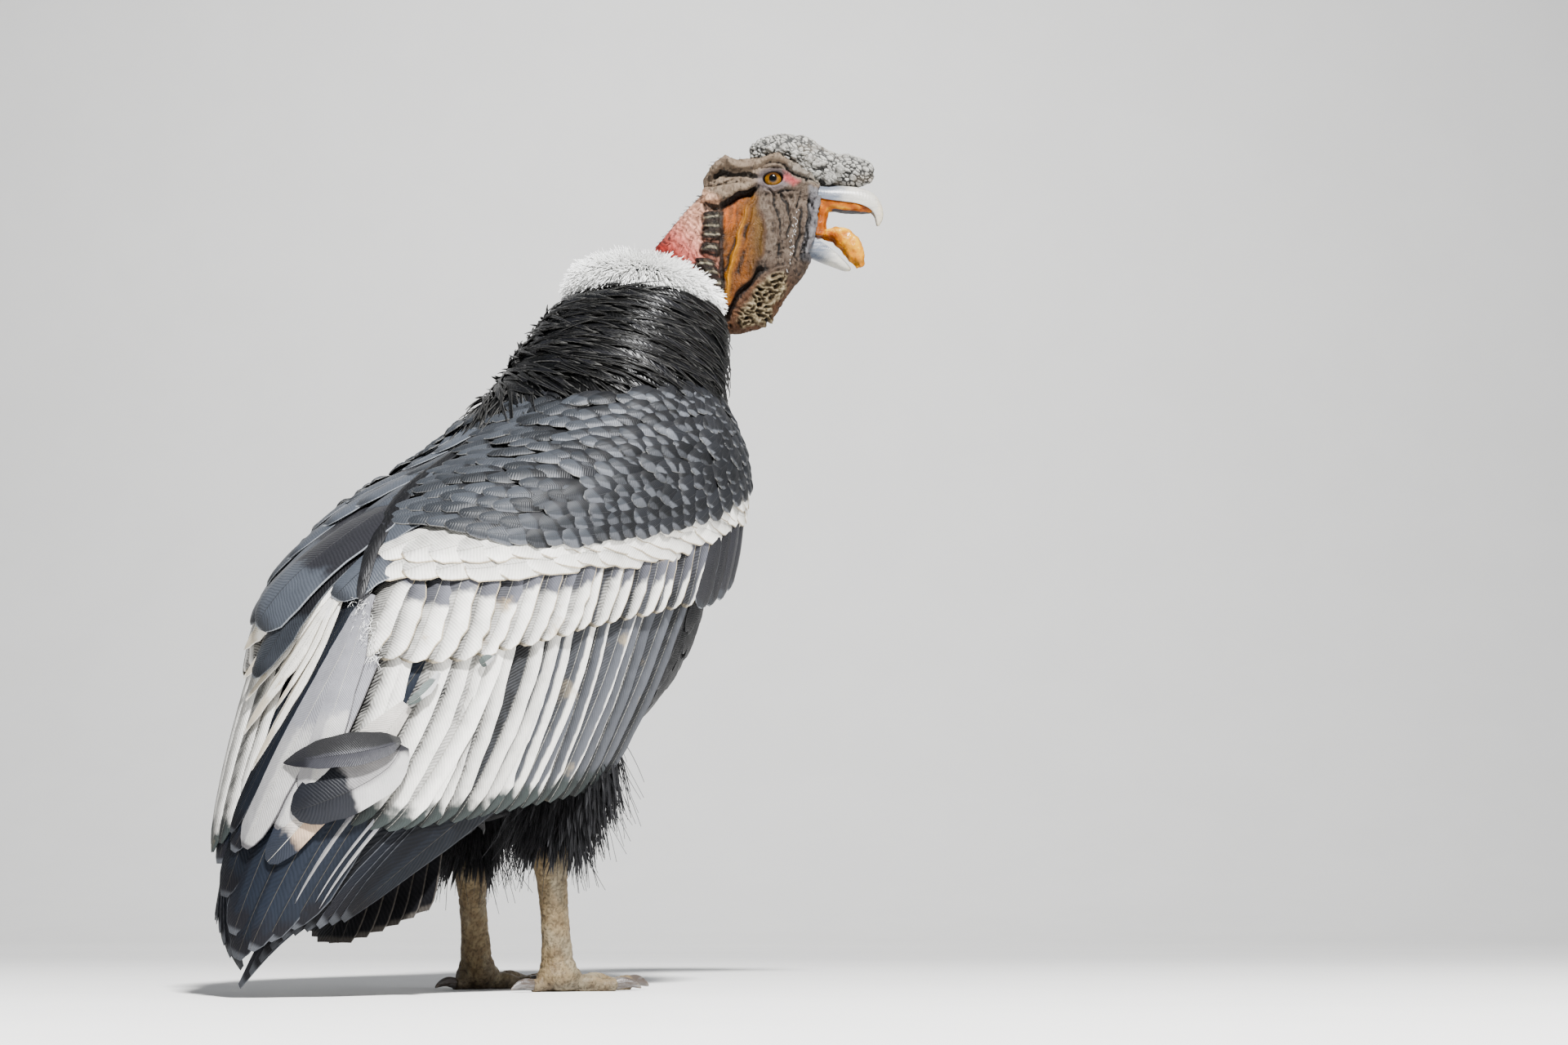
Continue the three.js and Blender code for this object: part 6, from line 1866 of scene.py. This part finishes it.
def moist_material():
    """Wet lining of the mouth and the tongue, yellower on the ridges, with painted shade near black where
    reach is below 0.
    """
    made, s, surface = material(
        "moist_lining", 0.3, Coat_Weight=0.08, Coat_Roughness=0.1, Specular_IOR_Level=0.12,
    )
    relief, reach, place = s.mark("relief"), s.mark("reach"), s.place()
    deep = s.blend(s.rise(reach, 0.2, 0.9), (0.27, 0.065, 0.0), (0.46, 0.18, 0.0))
    color = s.blend(s.rise(relief, 0.5, 0.95), deep, (0.56, 0.3, 0.0))
    mottle = s.group(MOTTLE, Color=color, Second=s.blend(1.0, color, (0.85, 0.7, 0.6), "MULTIPLY"),
                     Scale=160.0, Relief=relief, Crease=0.45)
    # Painted shade: near black where reach is below 0
    dark = s.rise(reach, -0.2, -0.6)
    s.feed(surface.inputs["Base Color"], s.blend(dark, mottle.outputs["Color"], (0.035, 0.036, 0.04)))
    s.feed(surface.inputs["Roughness"], s.plus(0.2, s.times(s.noise(place, 500, 2), 0.3)))
    pebble = s.group(PEBBLE, Scale=520.0, Fine=2.5, Depth=0.7)
    bump(s, surface, pebble.outputs["Height"], 0.0004)
    return made


def eye_material():
    """Amber iris with rays, a dark pupil and rim and painted shadow of the brow on its top, under a wet
    clear front.
    """
    made, s, surface = material(
        "wet_iris", 0.09, Coat_Weight=0.12, Coat_Roughness=0.03, Specular_IOR_Level=0.15,
    )
    split = s.add("SeparateXYZ")
    s.feed(split.inputs[0], s.add("UVMap", uv_map="iris").outputs[0])
    a, b = split.outputs[0], split.outputs[1]
    out = s.math("SQRT", s.plus(s.times(a, a), s.times(b, b)))
    turn = s.math("ARCTAN2", b, a)
    ray = s.add("CombineXYZ")
    s.feed(ray.inputs[0], s.times(turn, 3.0))
    s.feed(ray.inputs[1], s.times(out, 1.2))
    rays = s.noise(ray.outputs[0], 6.0, 3, 0.6)
    color = s.blend(s.rise(rays, 0.35, 0.65), (0.05, 0.02, 0.002), (0.2, 0.085, 0.003))
    color = s.blend(s.rise(out, 0.4, 0.58), (0.05, 0.018, 0.003), color)
    # Painted shadow of the brow: the top of the iris darker
    color = s.blend(s.rise(s.plus(b, s.times(rays, 0.2)), 0.15, 0.6), color, (0.03, 0.012, 0.003))
    color = s.blend(s.rise(out, 0.42, 0.46), (0.002, 0.002, 0.002), color)
    color = s.blend(s.rise(out, 0.86, 0.97), color, (0.03, 0.015, 0.008))
    s.feed(surface.inputs["Base Color"], color)
    bump(s, surface, s.times(rays, s.rise(out, 0.44, 0.5)), 0.0002, 0.4)
    return made


BRISTLE_LINE = [(26, -36), (20, -56), (16, -78), (12, -96)]
BRISTLE_CHEEK = [(-6, -24), (30, -20), (36, -60), (28, -100), (0, -90)]


def head_bristles(marks):
    """Sparse dark hairs on the neck and face, with a pale row down the cheek."""
    roll = np.random.default_rng(12)
    place, x, z = marks["at"], marks["x"], marks["z"]
    at, face = in_head(place), unit(marks["face"] @ HEAD_AXES)
    clear = smooth(marks["open"], 1.7, 2.2) * (marks["y"] > 5) * (place[:, 2] > -140)
    pale = np.exp(-((gap_to(BRISTLE_LINE, x, z) / 1.5) ** 2)) * clear
    dark = 0.55 * marks["nape"] + 0.4 * within(BRISTLE_CHEEK, x, z, 5) + 0.5 * within(BROW_SKIN, x, z, 3)
    for name, weight, count, length, width, look in (
        ("bristles_dark", dark * clear, 1300, (2, 7), 0.5, black_look),
        ("bristles_pale", pale, 70, (1.5, 3.5), 0.3, down_look),
    ):
        picked = roll.choice(len(at), count, p=weight / weight.sum(), replace=False)
        normal = face[picked]
        lean = np.array([-0.35, -0.1, -0.9]) + roll.normal(0, 0.35, (count, 3))
        blades(
            name, "face_skin", look, "strand", 3, HAIR, 0.4, roll, at[picked] - normal * 0.4, normal,
            unit(normal * 0.55 + lean * 0.6),
            np.stack([0.5 + place[picked, 0] / 600, 0.9 + place[picked, 2] / 1800], -1),
            length=roll.uniform(*length, count), width=width, bend=roll.uniform(-1, 1, count),
            droop=roll.uniform(0, 1.5, count), sway=roll.normal(0, 0.4, count),
        )


face_look = skin_material("bare_skin", 0.62, 760.0, 0.0009, 0.88, (1, 1, 0.5))
leg_look = skin_material("scaled_skin", 0.55, 520.0, 0.0005, 0.35, (1, 1, 1))
eye_look = eye_material()
comb_look = comb_material()
bill_look = horn_material(
    "ivory_horn", (0.085, 0.1, 0.13), (0.42, 0.4, 0.35), (0.46, 0.4, 0.28), (0.04, 0.037, 0.034), 0.36,
)
claw_look = horn_material(
    "dark_horn", (0.06, 0.045, 0.035), (0.05, 0.035, 0.026), (0.12, 0.09, 0.06), (0.03, 0.02, 0.016), 0.4,
)
moist_look = moist_material()


def join_skin():
    """Head, legs and body become one skin, which takes the place of all the solids of flesh."""
    spots = len(body_skin.data.vertices)
    attribute(body_skin, "tone", np.tile(BLACK, (spots, 1)))
    attribute(body_skin, "relief", np.full(spots, 0.7))
    attribute(body_skin, "gloss", np.zeros(spots))
    shape_legs(leg_skin)
    bpy.ops.object.select_all(action="DESELECT")
    for obj, look in ((head_skin, face_look), (leg_skin, leg_look), (body_skin, face_look)):
        obj.data.materials.append(look)
        obj.select_set(True)
    bpy.context.view_layer.objects.active = head_skin
    bpy.ops.object.join()
    bpy.ops.object.shade_smooth()
    head_skin.select_set(False)
    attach(head_skin, "root")
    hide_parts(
        "head", "neck", "throat", "torso", "mantle", "tail", "thigh_right", "thigh_left",
        "wing_right", "wing_left", "tarsus_right", "tarsus_left", "foot_right", "foot_left",
    )


join_skin()
head_bristles(head_marks)
for side, word in SIDES:
    make_eye(side, word)
comb = comb_skin()
finish(comb, "comb", comb_look)
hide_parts("comb")


def make_bill(name, node, rows, open_up, depth, edge, shift):
    """One half of the bill; shift is the share of its length that stays in the root's colour."""
    rings = gutter(rows, open_up, depth, edge)
    made = draw_limb(name, in_head(rings))
    at = of_head(points_of(made))
    far = np.hypot(at[:, 0] - rows[0][0], at[:, 2] - rows[0][2])
    attribute(made, "reach", np.clip((far / far.max() - shift) / (1 - shift), 0, 1))
    lip = rings[:, [0, BILL_ARC - 1]].reshape(-1, 3)
    near = np.array([np.min(np.sum((lip - p) ** 2, 1)) for p in at]) ** 0.5
    attribute(made, "rim", smooth(-near, -2.2, -0.4) * smooth(far, 14, 26))
    finish(made, "horn", bill_look, 1)
    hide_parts(node)


def make_claw(side, word, toe, title, sides=14):
    rings = limb_rings(fuller(claw_rows(side, toe), 12), toe_across(side, toe), sides)
    made = draw_limb(f"{title}_claw_{word}", rings)
    at = points_of(made)
    far = np.linalg.norm(at - at[:sides].mean(0), axis=1)
    attribute(made, "reach", far / far.max())
    attribute(made, "rim", np.zeros(len(at)))
    at[:, 2] = np.maximum(at[:, 2], 0.3)
    set_points(made, at)
    finish(made, "claw", claw_look, 1)
    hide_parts(f"claw_{word}_{title}")


make_bill("upper_bill", "bill_upper", UPPER_BILL, False, depth=0.3, edge=0.62, shift=0.05)
make_bill("lower_bill", "bill_lower", LOWER_BILL, True, depth=0.3, edge=0.7, shift=0.3)
for made, node in ((tongue_skin(), "tongue"), (mouth_skin(), "mouth")):
    finish(made, "mouth", moist_look)
    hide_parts(node)
for side, word in SIDES:
    for toe, title in zip(TOES, TOE_NAMES):
        make_claw(side, word, toe, title)


def floor_material():
    made, s, surface = material("pale_floor", 0.9)
    mottle = s.group(MOTTLE, Color=(0.86, 0.85, 0.83), Second=(0.84, 0.83, 0.81), Scale=3.0, Relief=1.0)
    s.feed(surface.inputs["Base Color"], mottle.outputs["Color"])
    return made


FLOOR = {"size": 16, "rise": 9, "sweep": 2.4, "ahead": -1.2}
VIEW_TURN = 44.4 * DEG
AMBIENT = {"color": (0.8, 0.88, 1.0, 1), "strength": 0.22}
# Place and aim in metres, size and power of each lamp
LAMPS = (
    ("key", (-1.3, -2.3, 3.4), (0, 0, 0.5), 0.4, 660),
    ("fill", (0.9, -3.0, 1.3), (0, 0, 0.45), 2.2, 34),
    ("backdrop", (2.4, 2.4, 3.4), (5, 5, 1.6), 3.0, 130),
)


def stage():
    """A pale floor that curves up into the backdrop, soft lamps and an even pale light."""
    bpy.ops.object.select_all(action="DESELECT")
    bpy.ops.mesh.primitive_plane_add(size=FLOOR["size"], location=(0, 0, 0))
    floor = bpy.context.object
    floor.name = "floor"
    bpy.ops.object.mode_set(mode="EDIT")
    bpy.ops.mesh.select_mode(type="EDGE")
    bpy.ops.mesh.select_all(action="DESELECT")
    mesh = bmesh.from_edit_mesh(floor.data)
    for edge in mesh.edges:
        edge.select = all(v.co.x > FLOOR["size"] / 2 - 1 for v in edge.verts)
    mesh.select_flush_mode()
    bmesh.update_edit_mesh(floor.data)
    bpy.ops.mesh.extrude_region_move(TRANSFORM_OT_translate={"value": (0, 0, FLOOR["rise"])})
    bpy.ops.object.mode_set(mode="OBJECT")
    turn = Matrix.Rotation(VIEW_TURN, 4, "Z") @ Matrix.Translation((FLOOR["ahead"], 0, 0))
    floor.data.transform(turn)
    bevel = floor.modifiers.new("sweep", "BEVEL")
    bevel.width, bevel.segments = FLOOR["sweep"], 16
    bpy.ops.object.modifier_apply(modifier="sweep")
    bpy.ops.object.shade_smooth()
    floor.data.materials.append(floor_material())
    floor.select_set(False)
    world = bpy.data.worlds.new("studio")
    bpy.context.scene.world = world
    world.use_nodes = True
    background = world.node_tree.nodes["Background"]
    background.inputs["Color"].default_value = AMBIENT["color"]
    background.inputs["Strength"].default_value = AMBIENT["strength"]
    for name, place, aim, size, power in LAMPS:
        light = bpy.data.lights.new(name, "AREA")
        light.size, light.energy = size, power
        obj = linked(name, light)
        obj.location = place
        obj.rotation_euler = (Vector(aim) - Vector(place)).to_track_quat("-Z", "Y").to_euler()


stage()

# The camera stands where the photo was taken from, low and behind the right side
CAMERA = {
    "at": (-1735.52654615, -2068.31999642, 75.0), "tilt": 98.28101847, "turn": -45.59463048,
    "lens": 61.6875, "sensor": 36,
}
camera = bpy.data.cameras.new("camera")
camera.lens, camera.sensor_width = CAMERA["lens"], CAMERA["sensor"]
camera_stand = linked("camera", camera)
camera_stand.location = to_frame(CAMERA["at"])
camera_stand.rotation_euler = (CAMERA["tilt"] * DEG, 0, CAMERA["turn"] * DEG)
bpy.context.scene.camera = camera_stand
